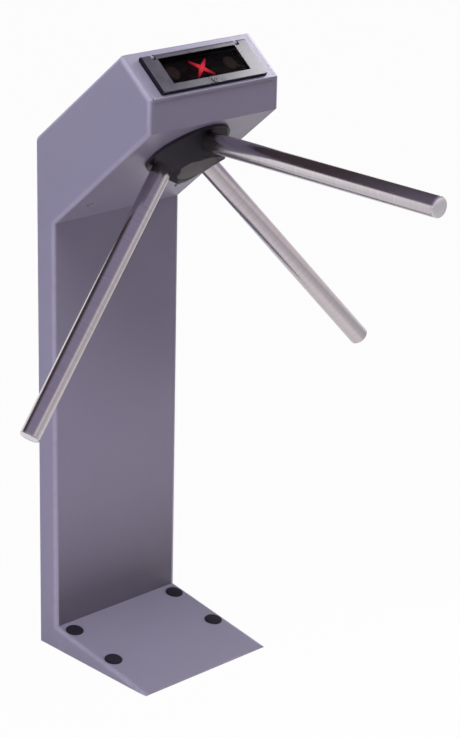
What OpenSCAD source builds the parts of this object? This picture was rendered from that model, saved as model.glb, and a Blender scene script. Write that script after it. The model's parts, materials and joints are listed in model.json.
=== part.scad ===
// Tripod turnstile: a narrow L-shaped steel housing whose inclined rotor carries three arms.
// Origin: centre of the four floor anchors, on the floor. Front is -Y, right is +X, up is +Z.

/* [Housing outline] */
// Width over both cheeks
body_w = 270; // [250:1:300]
// From the back plane to the centre of the anchor pattern
back_y = 113; // [108:1:118]
// Depth of the head, back plane to nose
head_d = 265; // [255:1:280]
// Depth of the foot, back plane to toe
foot_d = 268; // [255:1:285]
// Depth of the column
column_d = 39; // [38:1:44]
// Height of the nose
nose_h = 52.3; // [46:0.1:58]
// Depth of the display face, from the ridge to the nose
face_d = 68; // [67:0.5:72]
// Slope of the roof and of the display face, degrees
top_slope = 39.4; // [38:0.1:41]
// Height where the underside meets the column
under_h = 745; // [735:1:750]
// Slope of the underside, degrees
under_slope = 40; // [39:0.1:41]
// Height of the foot where it meets the column
foot_h = 39; // [36:1:44]
// Height of the toe
toe_h = 3; // [3:0.5:6]
// Depth of the solid bar that closes the toe
toe_bar = 5; // [4:0.5:8]

/* [Sheet metal] */
// Sheet thickness
sheet_t = 2; // [1.5:0.1:2.5]
// Outer radius of the cheeks' folded edges
edge_r = 7; // [5:0.5:8]
// Flat strip of a cheek's flange beyond its folded edge
flange_flat = 1; // [0.5:0.5:3]
// Gap left between a panel and the cheeks
seam = 0.2; // [0.1:0.05:0.4]

/* [Foot and column] */
// From the body's side to the centre of an anchor
anchor_side = 22; // [20:0.5:30]
// Anchor spacing from back to front
anchor_y = 100; // [90:1:110]
// Diameter of an anchor hole
anchor_hole = 14; // [12:0.5:16]
// Thickness of the base plate
base_t = 5; // [4:0.5:6]
// Side margin between the base plate and the body's sides
base_margin = 9; // [8:0.5:12]
// Diameter of an anchor cap
cap_d = 30; // [27:1:30]
// Thickness of an anchor cap's head
cap_t = 2.2; // [1.5:0.1:3]
// Diameter of an anchor cap's spigot
cap_spigot = 23; // [18:1:24]
// Diameter of the cable hole in the base plate
cable_hole = 24; // [20:1:25]
// Bore of the cable grommet
grommet_bore = 18; // [12:1:20]
// From the body's side to the spine channel
spine_side = 60; // [45:1:75]
// Depth of the spine channel
spine_d = 28; // [22:1:29]
// Wall of the spine channel
spine_t = 3; // [2:0.5:4]
// Height of the spine's top end above the underside's rear corner
spine_rise = 90; // [75:1:95]

/* [Rotor] */
// From the underside's front corner to the rotor axis, along the slope
rotor_nose = 81.5; // [78:0.5:85]
// Depth of the arms' meeting point inside the underside
apex_in = 25; // [23:0.1:26]
// Length of an arm from the meeting point to its tip
arm_len = 538.5; // [480:0.5:560]
// Outer diameter of an arm tube
arm_d = 32; // [30:0.5:33]
// Wall of an arm tube
arm_t = 2; // [1.5:0.1:3]
// Distance from the meeting point to the hub's flat where an arm enters
arm_seat = 65; // [63:0.5:69]
// Distance from the meeting point to the end of an arm inside the hub
arm_start = 44; // [42:0.5:48]
// Radius of the hub's rim
hub_rim_r = 71.5; // [69:0.5:74]
// Thickness of the hub's rim
hub_rim_t = 4.2; // [3:0.2:6]
// Radius of the hub's front face
hub_face_r = 50; // [46:0.5:52]
// Distance that the hub stands out of the underside
hub_out = 38.5; // [36:0.5:40]
// Gap between the rim and the underside
hub_gap = 0.8; // [0.6:0.1:1.5]
// Radius of the hub's neck in the underside's opening
hub_neck_r = 56; // [55:0.5:58]
// Depth of the neck inside the underside
hub_neck_in = 14; // [13:0.5:16]
// Radius of the hub's cap
hub_cap_r = 35; // [34:0.5:36]
// Thickness of the hub's cap
hub_cap_t = 3; // [2:0.5:4]
// Thickness of an arm's end cap
tip_t = 3; // [2:0.5:5]
// Radius of the spindle in its bearings
spindle_r = 15; // [14:0.5:16]
// Radius of the spindle's threaded end
spindle_end_r = 12; // [10:0.5:12.5]

/* [Mechanism] */
// Height of the mechanism plate above the underside
plate_z = 30; // [29:0.5:32]
// Thickness of the mechanism plate
plate_t = 5; // [4:0.5:6]
// From the body's side to the mechanism plate
plate_side = 31; // [25:1:35]
// Front edge of the mechanism plate, from the rotor axis
plate_front = 70; // [68:1:74]
// From the underside's rear corner to the mechanism plate, along the slope
plate_corner = 39; // [35:1:41]
// Outer radius of a rotor bearing
bearing_r = 27.5; // [26:0.5:28]
// Width of a rotor bearing
bearing_b = 13; // [12:0.5:14]
// Distance between the two rotor bearings
bearing_gap = 12; // [10:0.5:14]
// Wall of the bearing housing round the bearings
housing_wall = 5.5; // [4:0.5:6]
// Radius of the lock wheel
lock_r = 36; // [35:0.5:37]
// Notches of the lock wheel
lock_notches = 12; // [6:6:12]
// Depth of a notch
notch_depth = 6; // [5.6:0.2:7]
// Width of a notch
notch_w = 10.4; // [10.2:0.2:11]
// Thickness of the lock wheel and of the pawls
lock_t = 6; // [5:0.5:7]
// Gear module
gear_m = 1.5; // [1.4:0.02:1.55]
// Teeth of the main gear
main_teeth = 60; // [56:2:62]
// Teeth of the index pinion
index_teeth = 20; // [18:1:22]
// Teeth of the damper pinion
damper_teeth = 15; // [15:1:18]
// Width of the gear teeth
gear_b = 8; // [6:0.5:9]
// Backlash on the pitch circle
backlash = 0.3; // [0.25:0.05:0.5]
// Radius of the index shaft and of the damper shaft
index_shaft_r = 6; // [5:0.5:7]
// Throw of the index crank
crank_r = 14; // [10:0.5:15]
// Thickness of the index crank
crank_t = 5; // [4:0.5:6]
// Travel of a lock pawl, degrees
pawl_travel = 9; // [8:0.5:9.5]

/* [Display lid] */
// From the body's side to the display lid
lid_side = 28; // [25:0.5:32]
// Length of the display lid along the slope
lid_l = 71; // [69:1:72]
// Margin between the ridge and the lid
lid_margin = 13; // [12:0.5:15]
// Height of the lid above the display face
lid_h = 9; // [8:0.5:11]
// Wall of the lid
lid_wall = 2.5; // [2:0.1:3]
// From the lid's side to the window opening
window_side = 27.5; // [25:0.5:32]
// Length of the window opening
window_l = 49; // [45:1:50]
// From the lid's rear edge to the window opening
window_back = 9.7; // [9.5:0.1:11]
// Thickness of the window
window_t = 2; // [1.5:0.1:2.5]
// Radius of the key lock's head
lock_head_r = 5.5; // [5:0.1:6]
// Reach of the key lock's cam
cam_reach = 10; // [9:0.5:12]

/* [Hidden] */
$fn = 64;
eps = 0.01;
run_gap = 0.03;
fit_gap = 0.05;
air = 0.3;

// Outline of the housing in the plane of Y and Z, counter-clockwise, starting at the heel
nose_y = back_y - head_d;
nose_bot_z = under_h + (head_d - column_d) * tan(under_slope);
nose_top_z = nose_bot_z + nose_h;
ridge_y = nose_y + face_d;
ridge_z = nose_top_z + face_d * tan(top_slope);
shoulder_h = ridge_z - (head_d - face_d) * tan(top_slope);
column_y = back_y - column_d;
toe_y = back_y - foot_d;
foot_rise = (foot_h - toe_h) / (foot_d - column_d);
foot_angle = atan(foot_rise);
profile = [
    [back_y, 0],
    [back_y, shoulder_h],
    [ridge_y, ridge_z],
    [nose_y, nose_top_z],
    [nose_y, nose_bot_z],
    [column_y, under_h],
    [column_y, foot_h],
    [toe_y, toe_h],
    [toe_y, 0]
];
BACK = 0;
ROOF = 1;
DECK = 2;
NOSE = 3;
UNDER = 4;
COLUMN = 5;
FOOT = 6;
TOE = 7;
FOLDED = [ROOF, DECK, NOSE, UNDER, COLUMN, FOOT];

// Plane geometry
function unit(v) = v / norm(v);
function left_of(v) = [-v[1], v[0]];
function cross2(a, b) = a[0] * b[1] - a[1] * b[0];
function meet(p, u, q, v) = p + u * (cross2(q - p, v) / cross2(u, v));
function at(pts, i) = pts[(i + len(pts)) % len(pts)];
function heading(pts, i) = unit(at(pts, i + 1) - at(pts, i));
function inset(pts, d) = [
    for (i = [0 : len(pts) - 1])
        let (u = heading(pts, i - 1), v = heading(pts, i))
        meet(pts[i] + left_of(u) * at(d, i - 1), u, pts[i] + left_of(v) * d[i], v)
];
function each_side(value) = [for (p = profile) value];
function has(list, i) = len(search(i, list)) > 0;

skin = inset(profile, each_side(sheet_t));
toe_in_y = toe_y + toe_bar;
foot_in_z = skin[FOOT][1] - (skin[FOOT][0] - toe_in_y) * foot_rise;
rim_w = edge_r + flange_flat;
panel_w = body_w - 2 * (rim_w + seam);

// The rotor's frame: origin on the underside, Z along the axis into the housing, Y down the slope
rotor_u = (head_d - column_d) / cos(under_slope) - rotor_nose;
rotor_y = column_y - rotor_u * cos(under_slope);
rotor_z = under_h + rotor_u * sin(under_slope);
cone = 90 - under_slope;
neck_open_r = hub_neck_r + 2;
boss_z = hub_neck_in;
flange_t = 6;
flange_r = 32;
shoulder_r = spindle_r + 4;
bearing_z = boss_z + flange_t + 4;
bearing2_z = bearing_z + bearing_b + bearing_gap;
stack_z = bearing2_z + bearing_b + air;
wheel_hub = 4;
lock_z = stack_z + wheel_hub;
gear_hub = 4;
gear_z = lock_z + lock_t + gear_hub;
disc_z = gear_z + gear_b + gear_hub;
disc_t = 2;
disc_r = lock_r;
nut_z = disc_z + disc_t;
nut_h = 8;
plate_top = plate_z + plate_t;
index_y = gear_m * (main_teeth + index_teeth) / 2;
damper_y = -gear_m * (main_teeth + damper_teeth) / 2;
sleeve_r = index_shaft_r + 4;
crank_z = disc_z;
crank_disc_r = crank_r + 6;
crank_pin_r = 3;
crank_pin_h = 11;
spring_post_r = 4;
hook_z = crank_z + crank_t + crank_pin_h / 2;
plate_x = body_w / 2 - plate_side;
plate_rear = rotor_u - plate_corner;
post_r = 7;
post_edge = 2 * post_r;
post_x = plate_x - 11;
post_front_y = post_edge - 6 - plate_front;
post_rear_y = plate_rear - post_edge;
post_y = post_rear_y - 16;
plate_hole_r = 22;
plate_hole_y = plate_rear - 3 * plate_hole_r;
screw_r = 2.5;
flange_w = 12;
flange_b = 5;
key_w = 6;
key_r = spindle_r + 2.5;

// Lock pawls, stated for the right one
pawl_pivot = [48, -34];
pawl_tail = [50, 44];
pawl_boss_r = 8;
tail_r = 6;
pin_r = 4;
link_r = 3;
slot_play = 0.35;
fork_t = 3.5;
fork_gap = 0.5;
pawl_mid_z = lock_z + lock_t / 2;
pawl_clear = 1;
solenoid_x = 70;
solenoid_side = 33;
bracket_t = 2;
solenoid_l = body_w / 2 - solenoid_side - bracket_t - solenoid_x;
solenoid_r = 14;
plunger_r = 5;
spring_room = 20;

// Display lid's frame: origin on the display face below the lid's rear edge, Y towards the ridge
lid_w = body_w - 2 * lid_side;
window_w = lid_w - 2 * window_side;
lid_y = ridge_y - lid_margin * cos(top_slope);
lid_z = ridge_z - lid_margin * sin(top_slope);
lid_gap = 0.3;
hinge_r = (lid_h - lid_gap) / 2;
hinge_y = -hinge_r;
hinge_z = lid_gap + hinge_r;
hinge_side = 21;
hinge_x = lid_w / 2 - hinge_side;
knuckle_w = 8;
hinge_pin_r = 1.5;
lid_top_t = 2.5;
lid_lip = 1;
window_lap = 1.6;
deck_open_w = lid_w - 18;
deck_open_back = -8.8;
deck_open_front = -(lid_l - 0.8);
barrel_r = lock_head_r - 1.5;
plug_r = barrel_r - 1.1;
lock_y = -(window_back + window_l + (lid_l - window_back - window_l) / 2);
cam_z = -sheet_t - 3.2;
cam_t = 2.2;
board_z = -3.1;
board_t = 1.6;
board_lap = 8.5;
board_w = window_w + 2 * board_lap;
board_l = window_l - 5;
board_y = -(window_back + window_l / 2);
lamp_t = 1.5;
round_lamp_r = 12;
round_lamp_x = window_w / 2 - board_lap - round_lamp_r;
cross_l = 46;

// Foot, spine and what the spine carries
anchor_x = body_w - 2 * anchor_side;
spine_w = body_w - 2 * spine_side;
spine_top = under_h + spine_rise;
cover_screw_low = 120;
cover_screw_high = under_h - 65;
cover_screw_zs = [cover_screw_low, (cover_screw_low + cover_screw_high) / 2, cover_screw_high];
gusset_l = 120;
gusset_t = 6;
supply_h = 130;
supply_z = under_h - 365;
circuit_h = 150;
circuit_z = under_h - 185;
bracket_w = spine_w - 30;
base_front_y = column_y - (foot_h - sheet_t / cos(foot_angle) - base_t - 0.6) / foot_rise;
base_back_y = back_y - sheet_t - air;
spine_back_y = column_y + sheet_t + 0.5 + spine_d;
spine_front_y = spine_back_y - spine_d;
cable_y = (spine_front_y + base_back_y) / 2;

paint = [0.49, 0.48, 0.58];
steel = [0.72, 0.72, 0.74];
black = [0.12, 0.12, 0.14];
zinc = [0.62, 0.63, 0.62];
brass = [0.72, 0.6, 0.32];
copper = [0.66, 0.38, 0.22];
board_green = [0.1, 0.34, 0.2];

// Extrudes a figure drawn in the plane of Y and Z along X
module slab(x0, w) {
    translate([x0, 0, 0]) rotate([90, 0, 90]) linear_extrude(w) children();
}

module on_rotor() {
    translate([0, rotor_y, rotor_z]) rotate([-under_slope, 0, 0]) children();
}

// Z runs out along arm k, from the point where the arms meet
module on_arm(k) {
    on_rotor()
        translate([0, 0, apex_in]) rotate([0, 0, 120 * k]) rotate([180 - cone, 0, 0]) children();
}

module on_lid() {
    translate([0, lid_y, lid_z]) rotate([top_slope, 0, 0]) children();
}

// Stands square on the foot's slope at one anchor
module on_anchor(x, y) {
    translate([x, y, foot_h - (column_y - y) * foot_rise]) rotate([foot_angle, 0, 0]) children();
}

module tube(r_out, r_in, h) {
    difference() {
        cylinder(h = h, r = r_out);
        translate([0, 0, -1]) cylinder(h = h + 2, r = r_in);
    }
}

// Closed surface through outlines in planes across X, with its ends split into convex parts
module loft(xs, outlines, parts) {
    n = len(outlines[0]);
    m = len(xs);
    sides = [
        for (j = [0 : m - 2], i = [0 : n - 1])
            [j * n + i, (j + 1) * n + i, (j + 1) * n + (i + 1) % n, j * n + (i + 1) % n]
    ];
    polyhedron(
        points = [for (j = [0 : m - 1], p = outlines[j]) [xs[j], p[0], p[1]]],
        faces = concat(
            parts, sides, [for (part = parts) [for (i = [len(part) - 1 : -1 : 0]) (m - 1) * n + part[i]]]
        )
    );
}

// Body whose folded sides round over to X = body_w / 2 from a face that lies inside the outline by a depth
module folded(depth, heel, toe, floor_drop, lip) {
    steps = 8;
    r = edge_r - depth;
    turn = [for (k = [0 : steps]) 90 * k / steps];
    outline = function (d) inset(profile, [
        for (i = [0 : len(profile) - 1]) has(FOLDED, i) ? d : i == BACK ? heel : i == TOE ? toe : -floor_drop
    ]);
    loft(
        concat([body_w / 2 - rim_w - lip], [for (a = turn) body_w / 2 - edge_r + r * sin(a)]),
        concat([outline(depth)], [for (a = turn) outline(edge_r - r * cos(a))]),
        [[0, 1, 5, 6], [1, 2, 3, 4, 5], [0, 6, 7, 8]]
    );
}

// Formed cheek: a side sheet with a folded flange all round, open at the floor
module cheek() {
    color(paint) difference() {
        folded(0, 0, 0, 12, 0);
        folded(sheet_t, sheet_t, toe_bar, 14, 1);
        translate([0, toe_y - 10, -30]) cube([body_w, foot_d + 20, 30]);
    }
}

module right_cheek() {
    cheek();
}

module left_cheek() {
    mirror([1, 0, 0]) cheek();
}

// Flat sheet along one side of the outline, between the two cheeks
module panel(i) {
    slab(-panel_w / 2, panel_w)
        polygon([profile[i], profile[i + 1], skin[i + 1], skin[i]]);
}

module column_front() {
    color(paint) panel(COLUMN);
}

module underside_panel() {
    color(paint) difference() {
        panel(UNDER);
        on_rotor() {
            translate([0, 0, -1]) cylinder(h = sheet_t + 2, r = neck_open_r);
            for (x = [-post_x, post_x])
                translate([x, post_rear_y, -1]) cylinder(h = sheet_t + 2, r = screw_r);
        }
    }
}

module nose_panel() {
    color(paint) panel(NOSE);
}

// Display face with the opening below the lid and the two hinge ears
module top_deck() {
    color(paint) {
        difference() {
            panel(DECK);
            on_lid() translate([-deck_open_w / 2, deck_open_front, -sheet_t - 1])
                cube([deck_open_w, deck_open_back - deck_open_front, sheet_t + 2]);
        }
        on_lid() for (x = [-hinge_x, hinge_x]) hinge_ear(x);
    }
}

module hinge_ear(x) {
    ear_w = knuckle_w - 2 * air;
    difference() {
        translate([x - ear_w / 2, hinge_y, 0]) rotate([90, 0, 90]) linear_extrude(ear_w) union() {
            translate([0, hinge_z]) circle(r = hinge_r - 1.2);
            translate([-(hinge_r - 1.2), -eps]) square([2 * (hinge_r - 1.2), hinge_z]);
        }
        translate([x - ear_w, hinge_y, hinge_z]) rotate([0, 90, 0])
            cylinder(h = 2 * ear_w, r = hinge_pin_r + fit_gap);
    }
    translate([x - ear_w / 2 - 1, hinge_y, hinge_z]) rotate([0, 90, 0])
        cylinder(h = ear_w + 2, r = hinge_pin_r);
}

// Back and roof in one folded sheet that unscrews for service
module rear_cover() {
    color(paint) difference() {
        slab(-panel_w / 2, panel_w) polygon([
            profile[0], profile[1], profile[2], skin[2], skin[1], [back_y - sheet_t, 0]
        ]);
        cover_screw_places() translate([0, 0, -8]) cylinder(h = 12, r = 2.3);
    }
}

// Z points out of the back plane at each cover screw
module cover_screw_places() {
    for (x = [-1, 1], z = cover_screw_zs)
        translate([x * (spine_w / 2 - 8), back_y, z]) rotate([-90, 0, 0]) children();
}

module pan_head(r, h) {
    intersection() {
        cylinder(h = h, r = r);
        translate([0, 0, h - 1.7 * r]) sphere(r = 1.7 * r);
    }
}

module cover_screws() {
    color(zinc) cover_screw_places() {
        pan_head(4, 2.2);
        translate([0, 0, -sheet_t - spine_t - 1]) cylinder(h = sheet_t + spine_t + 1, r = 1.95);
    }
}

module foot_cover() {
    color(paint) difference() {
        slab(-panel_w / 2, panel_w) polygon([
            profile[6], profile[7], profile[8], [toe_in_y, 0], [toe_in_y, foot_in_z], skin[6]
        ]);
        for (x = [-1, 1], y = [-1, 1])
            on_anchor(x * anchor_x / 2, y * anchor_y / 2)
                translate([0, 0, -sheet_t - 1]) cylinder(h = sheet_t + 2, r = cap_spigot / 2 + air);
    }
}

// Push-in caps over the anchors: a thin domed head on a hollow spigot
module anchor_caps() {
    color(black) for (x = [-1, 1], y = [-1, 1])
        on_anchor(x * anchor_x / 2, y * anchor_y / 2) rotate_extrude() polygon([
            [0, 0.6], [cap_spigot / 2 - 2, 0.6], [cap_spigot / 2 - 2, -5], [cap_spigot / 2, -5],
            [cap_spigot / 2, 0], [cap_d / 2, 0], [cap_d / 2, cap_t * 0.4],
            [cap_d / 2 - 1, cap_t * 0.8], [cap_d / 2 - 3, cap_t], [0, cap_t]
        ]);
}

module base_plate() {
    base_w = body_w - 2 * base_margin;
    color(zinc) difference() {
        translate([-base_w / 2, base_front_y, 0]) cube([base_w, base_back_y - base_front_y, base_t]);
        for (x = [-1, 1], y = [-1, 1])
            translate([x * anchor_x / 2, y * anchor_y / 2, -1])
                cylinder(h = base_t + 2, r = anchor_hole / 2);
        translate([0, cable_y, -1]) cylinder(h = base_t + 2, r = cable_hole / 2);
    }
}

// Triangular plates that stiffen the joint of spine and base plate
module base_gussets() {
    gusset_h = foot_h - sheet_t - base_t - 4;
    front_h = gusset_h - gusset_l * foot_rise;
    outer_x = spine_w / 2 - 17;
    color(zinc) for (x = [-outer_x, 0, outer_x]) slab(x - gusset_t / 2, gusset_t) polygon([
        [spine_front_y, base_t], [spine_front_y, base_t + gusset_h],
        [spine_front_y - gusset_l, base_t + front_h], [spine_front_y - gusset_l, base_t]
    ]);
}

module cable_grommet() {
    lip = 1.5;
    color(black) translate([0, cable_y, 0]) difference() {
        union() {
            cylinder(h = base_t, r = cable_hole / 2);
            translate([0, 0, base_t]) cylinder(h = 2, r = cable_hole / 2 + lip);
        }
        translate([0, 0, -1]) cylinder(h = base_t + 4, r = grommet_bore / 2);
    }
}

// Lipped channel that carries the head, open towards the rear cover
module spine() {
    lip = 16;
    floor_z = base_t;
    color(zinc) difference() {
        translate([-spine_w / 2, spine_front_y, floor_z])
            cube([spine_w, base_back_y - spine_front_y, spine_top - floor_z]);
        translate([-spine_w / 2 + spine_t, spine_front_y + spine_t, floor_z - 1]) cube([
            spine_w - 2 * spine_t, base_back_y - spine_front_y - 2 * spine_t, spine_top + 2
        ]);
        translate([-spine_w / 2 + lip, spine_front_y + spine_t, floor_z - 1])
            cube([spine_w - 2 * lip, spine_d + column_d, spine_top + 2]);
        cover_screw_places() translate([0, 0, -12]) cylinder(h = 14, r = 2);
    }
}

// Angle that ties the mechanism plate to the spine
module head_bracket() {
    leg_t = 3;
    leg_y0 = post_y + 11;
    leg_reach = spine_front_y - 0.5 - rotor_y - (plate_top + leg_t) * sin(under_slope);
    leg_end = leg_reach / cos(under_slope);
    joint_z = rotor_z - leg_end * sin(under_slope) + plate_top * cos(under_slope);
    color(zinc) {
        on_rotor() slab(-bracket_w / 2, bracket_w)
            polygon([
                [leg_y0, plate_top], [leg_end, plate_top],
                [leg_end, plate_top + leg_t], [leg_y0, plate_top + leg_t]
            ]);
        translate([-bracket_w / 2, spine_front_y - leg_t, joint_z - 20]) cube([bracket_w, leg_t, 60]);
    }
}

module mechanism_plate() {
    color(steel) on_rotor() difference() {
        translate([-plate_x, -plate_front, plate_z])
            cube([2 * plate_x, plate_front + plate_rear, plate_t]);
        translate([0, 0, plate_z - 1]) cylinder(h = plate_t + 2, r = bearing_r + housing_wall + fit_gap);
        translate([0, index_y, plate_z - 1]) cylinder(h = plate_t + 2, r = sleeve_r + fit_gap);
        for (x = [-1, 1])
            translate([x * bracket_w / 2, plate_hole_y, plate_z - 1])
                cylinder(h = plate_t + 2, r = plate_hole_r);
        flange_screw_places() translate([0, 0, -20]) cylinder(h = 22, r = screw_r);
    }
}

module plate_posts() {
    color(steel) on_rotor() for (x = [-post_x, post_x], y = [post_front_y, post_rear_y])
        translate([x, y, sheet_t + fit_gap]) difference() {
            cylinder(h = plate_z - sheet_t - fit_gap, r = post_r);
            translate([0, 0, -1]) cylinder(h = 15, r = screw_r);
        }
}

module frame_screw() {
    pan_head(5, 2.6);
    translate([0, 0, -12]) cylinder(h = 12, r = screw_r - fit_gap);
}

// Z points up from the bearing housing's flange at each of its screws
module flange_screw_places() {
    for (k = [0 : 3]) rotate([0, 0, 45 + 90 * k])
        translate([bearing_r + housing_wall + 6.5, 0, plate_top + flange_b]) children();
}

// Two screws through the underside into the rear posts, four through the bearing housing's flange
module frame_screws() {
    color(zinc) on_rotor() {
        for (x = [-post_x, post_x]) translate([x, post_rear_y, 0]) rotate([180, 0, 0]) frame_screw();
        flange_screw_places() frame_screw();
    }
}

// Turned housing: two bearing seats either side of a land, with a flange on the plate
module bearing_housing() {
    r = bearing_r + housing_wall;
    z0 = bearing_z - 2;
    z1 = bearing2_z + bearing_b;
    land_r = bearing_r - 3.5;
    color(steel) on_rotor() {
        difference() {
            rotate_extrude() polygon([
                [bearing_r, z0], [r, z0], [r, plate_top], [r + flange_w, plate_top],
                [r + flange_w, plate_top + flange_b], [r, plate_top + flange_b], [r, z1], [bearing_r, z1],
                [bearing_r, bearing2_z], [land_r, bearing2_z], [land_r, bearing_z + bearing_b],
                [bearing_r, bearing_z + bearing_b]
            ]);
            flange_screw_places() translate([0, 0, -2 * flange_b]) cylinder(h = 3 * flange_b, r = screw_r);
        }
    }
}

// Sealed ball bearing: outer ring, shields set back, inner ring
module ball_bearing() {
    ring = 4;
    out_r = bearing_r - fit_gap;
    in_r = spindle_r + run_gap;
    rotate_extrude() polygon([
        [in_r, 0], [in_r + ring, 0], [in_r + ring, 0.8], [out_r - ring, 0.8], [out_r - ring, 0],
        [out_r, 0], [out_r, bearing_b], [out_r - ring, bearing_b], [out_r - ring, bearing_b - 0.8],
        [in_r + ring, bearing_b - 0.8], [in_r + ring, bearing_b], [in_r, bearing_b]
    ]);
}

module rotor_bearings() {
    color(steel) on_rotor() for (z = [bearing_z, bearing2_z]) translate([0, 0, z]) ball_bearing();
}

module index_sleeve() {
    flange = 4;
    color(brass) on_rotor() translate([0, index_y, 0]) difference() {
        union() {
            translate([0, 0, plate_z - 2])
                cylinder(h = gear_z - gear_hub - lock_t - air - plate_z + 2, r = sleeve_r);
            translate([0, 0, plate_top]) cylinder(h = 3, r = sleeve_r + flange);
        }
        translate([0, 0, plate_z - 3]) cylinder(h = gear_z, r = index_shaft_r + run_gap);
    }
}

module spring_post() {
    color(zinc) on_rotor() translate([0, post_y, 0]) {
        translate([0, 0, plate_top]) cylinder(h = 4, r = 9);
        translate([0, 0, plate_top]) cylinder(h = hook_z + 5 - plate_top, r = spring_post_r);
        translate([0, 0, hook_z + 5]) cylinder(h = 1.5, r = 5.5);
    }
}

module pawl_pins() {
    color(zinc) on_rotor() for (s = [-1, 1]) translate([s * pawl_pivot[0], pawl_pivot[1], 0]) {
        translate([0, 0, plate_top]) cylinder(h = lock_z - air - plate_top, r = pawl_boss_r - 1);
        translate([0, 0, plate_top]) cylinder(h = lock_z + lock_t + 1.8 - plate_top, r = pin_r);
        translate([0, 0, lock_z + lock_t + air]) cylinder(h = 1.5, r = 6);
    }
}

// Tubular solenoid in a folded bracket that stands on the mechanism plate
module solenoid() {
    half = solenoid_r + 1;
    z0 = pawl_mid_z - half;
    difference() {
        union() {
            translate([solenoid_x, pawl_tail[1], pawl_mid_z]) rotate([0, 90, 0])
                cylinder(h = solenoid_l, r = solenoid_r);
            for (x = [solenoid_x - bracket_t, solenoid_x + solenoid_l])
                translate([x, pawl_tail[1] - half, plate_top])
                    cube([bracket_t, 2 * half, z0 + 2 * half - plate_top]);
            translate([solenoid_x - bracket_t, pawl_tail[1] - half, plate_top])
                cube([solenoid_l + 2 * bracket_t, 2 * half, bracket_t]);
        }
        translate([solenoid_x - 10, pawl_tail[1], pawl_mid_z]) rotate([0, 90, 0])
            cylinder(h = solenoid_l + 20, r = plunger_r + fit_gap);
    }
}

module solenoids() {
    color(copper) on_rotor() for (m = [0, 1]) mirror([m, 0, 0]) solenoid();
}

// Compression spring that pushes a plunger's disc away from the solenoid
module return_spring() {
    turns = 6;
    r = plunger_r + 1.6;
    wire_r = 0.5;
    x0 = solenoid_x + solenoid_l + bracket_t + wire_r + air;
    l = spring_room - 2 * wire_r - 2 * air;
    translate([x0, pawl_tail[1], pawl_mid_z]) rotate([0, 0, -90])
        wire(coil(l, r, turns, 12), wire_r, 6);
}

module right_return_spring() {
    color(zinc) on_rotor() return_spring();
}

module left_return_spring() {
    color(zinc) on_rotor() mirror([1, 0, 0]) return_spring();
}

// Rotary damper: finned drum with two ears, and a bore for the pinion's shaft
module damper_body() {
    r = -damper_y - bearing_r - housing_wall - flange_w - 0.6;
    shaft_r = index_shaft_r - 2;
    color(black) on_rotor() translate([0, damper_y, 0]) difference() {
        union() {
            translate([0, 0, plate_top]) cylinder(h = 5, r = r);
            translate([0, 0, plate_top]) cylinder(h = lock_z - 3 - plate_top, r = r - 1.5);
            for (k = [0 : 3]) translate([0, 0, plate_top + 8 + 4 * k]) cylinder(h = 1.6, r = r);
            for (s = [-1, 1]) translate([s * (r + 3), 0, plate_top]) cylinder(h = 3, r = 6);
        }
        translate([0, 0, plate_top + 4]) cylinder(h = 60, r = shaft_r + run_gap);
    }
}

module sensor_bracket() {
    x = -disc_r - 26;
    color(zinc) on_rotor() {
        translate([x - 18, -9, plate_top]) cube([18, 18, 2]);
        translate([x - 2, -9, plate_top]) cube([2, 18, disc_z + 14 - plate_top]);
    }
}

// Slotted optical sensor over the rim of the encoder disc, on its own small board
module rotation_sensor() {
    x = -disc_r - 26;
    jaw = 2.4;
    color(black) on_rotor() {
        translate([x, -9, disc_z - 8]) cube([1.6, 18, 20]);
        difference() {
            translate([x + 1.6, -6, gear_z + gear_b + 0.8])
                cube([32, 12, disc_z + disc_t + 4.4 - gear_z - gear_b]);
            translate([x + 14, -7, disc_z - 1]) cube([40, 14, disc_t + 2]);
        }
    }
}

module controller_board() {
    w = bracket_w;
    h = circuit_h;
    z = circuit_z;
    y = spine_front_y + spine_t;
    color(board_green) {
        translate([-w / 2, y + 6, z]) cube([w, 1.6, h]);
        for (x = [-1, 1], k = [0, 1])
            translate([x * (w / 2 - 6), y, z + 6 + k * (h - 12)]) rotate([-90, 0, 0])
                cylinder(h = 6 + eps, r = 3);
        for (k = [0 : 3]) translate([(k - 1.9) * w / 4.6, y + 7.6 - eps, z + 4]) cube([w / 5.4, 10, 10]);
        translate([-20, y + 7.6 - eps, z + h * 0.4]) cube([26, 2.5, 26]);
        for (x = [w / 5, w / 3]) translate([x, y + 7.6 - eps, z + h * 0.73]) rotate([-90, 0, 0])
            cylinder(h = 12, r = 6);
    }
}

module power_supply() {
    w = spine_w - 50;
    pitch = supply_h / 9;
    color(zinc) translate([-w / 2, spine_front_y + spine_t, supply_z]) difference() {
        cube([w, spine_d - 8, supply_h]);
        for (k = [1 : 7]) translate([-1, 6, pitch * k + 4]) cube([12, 8, 6]);
    }
}

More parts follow.
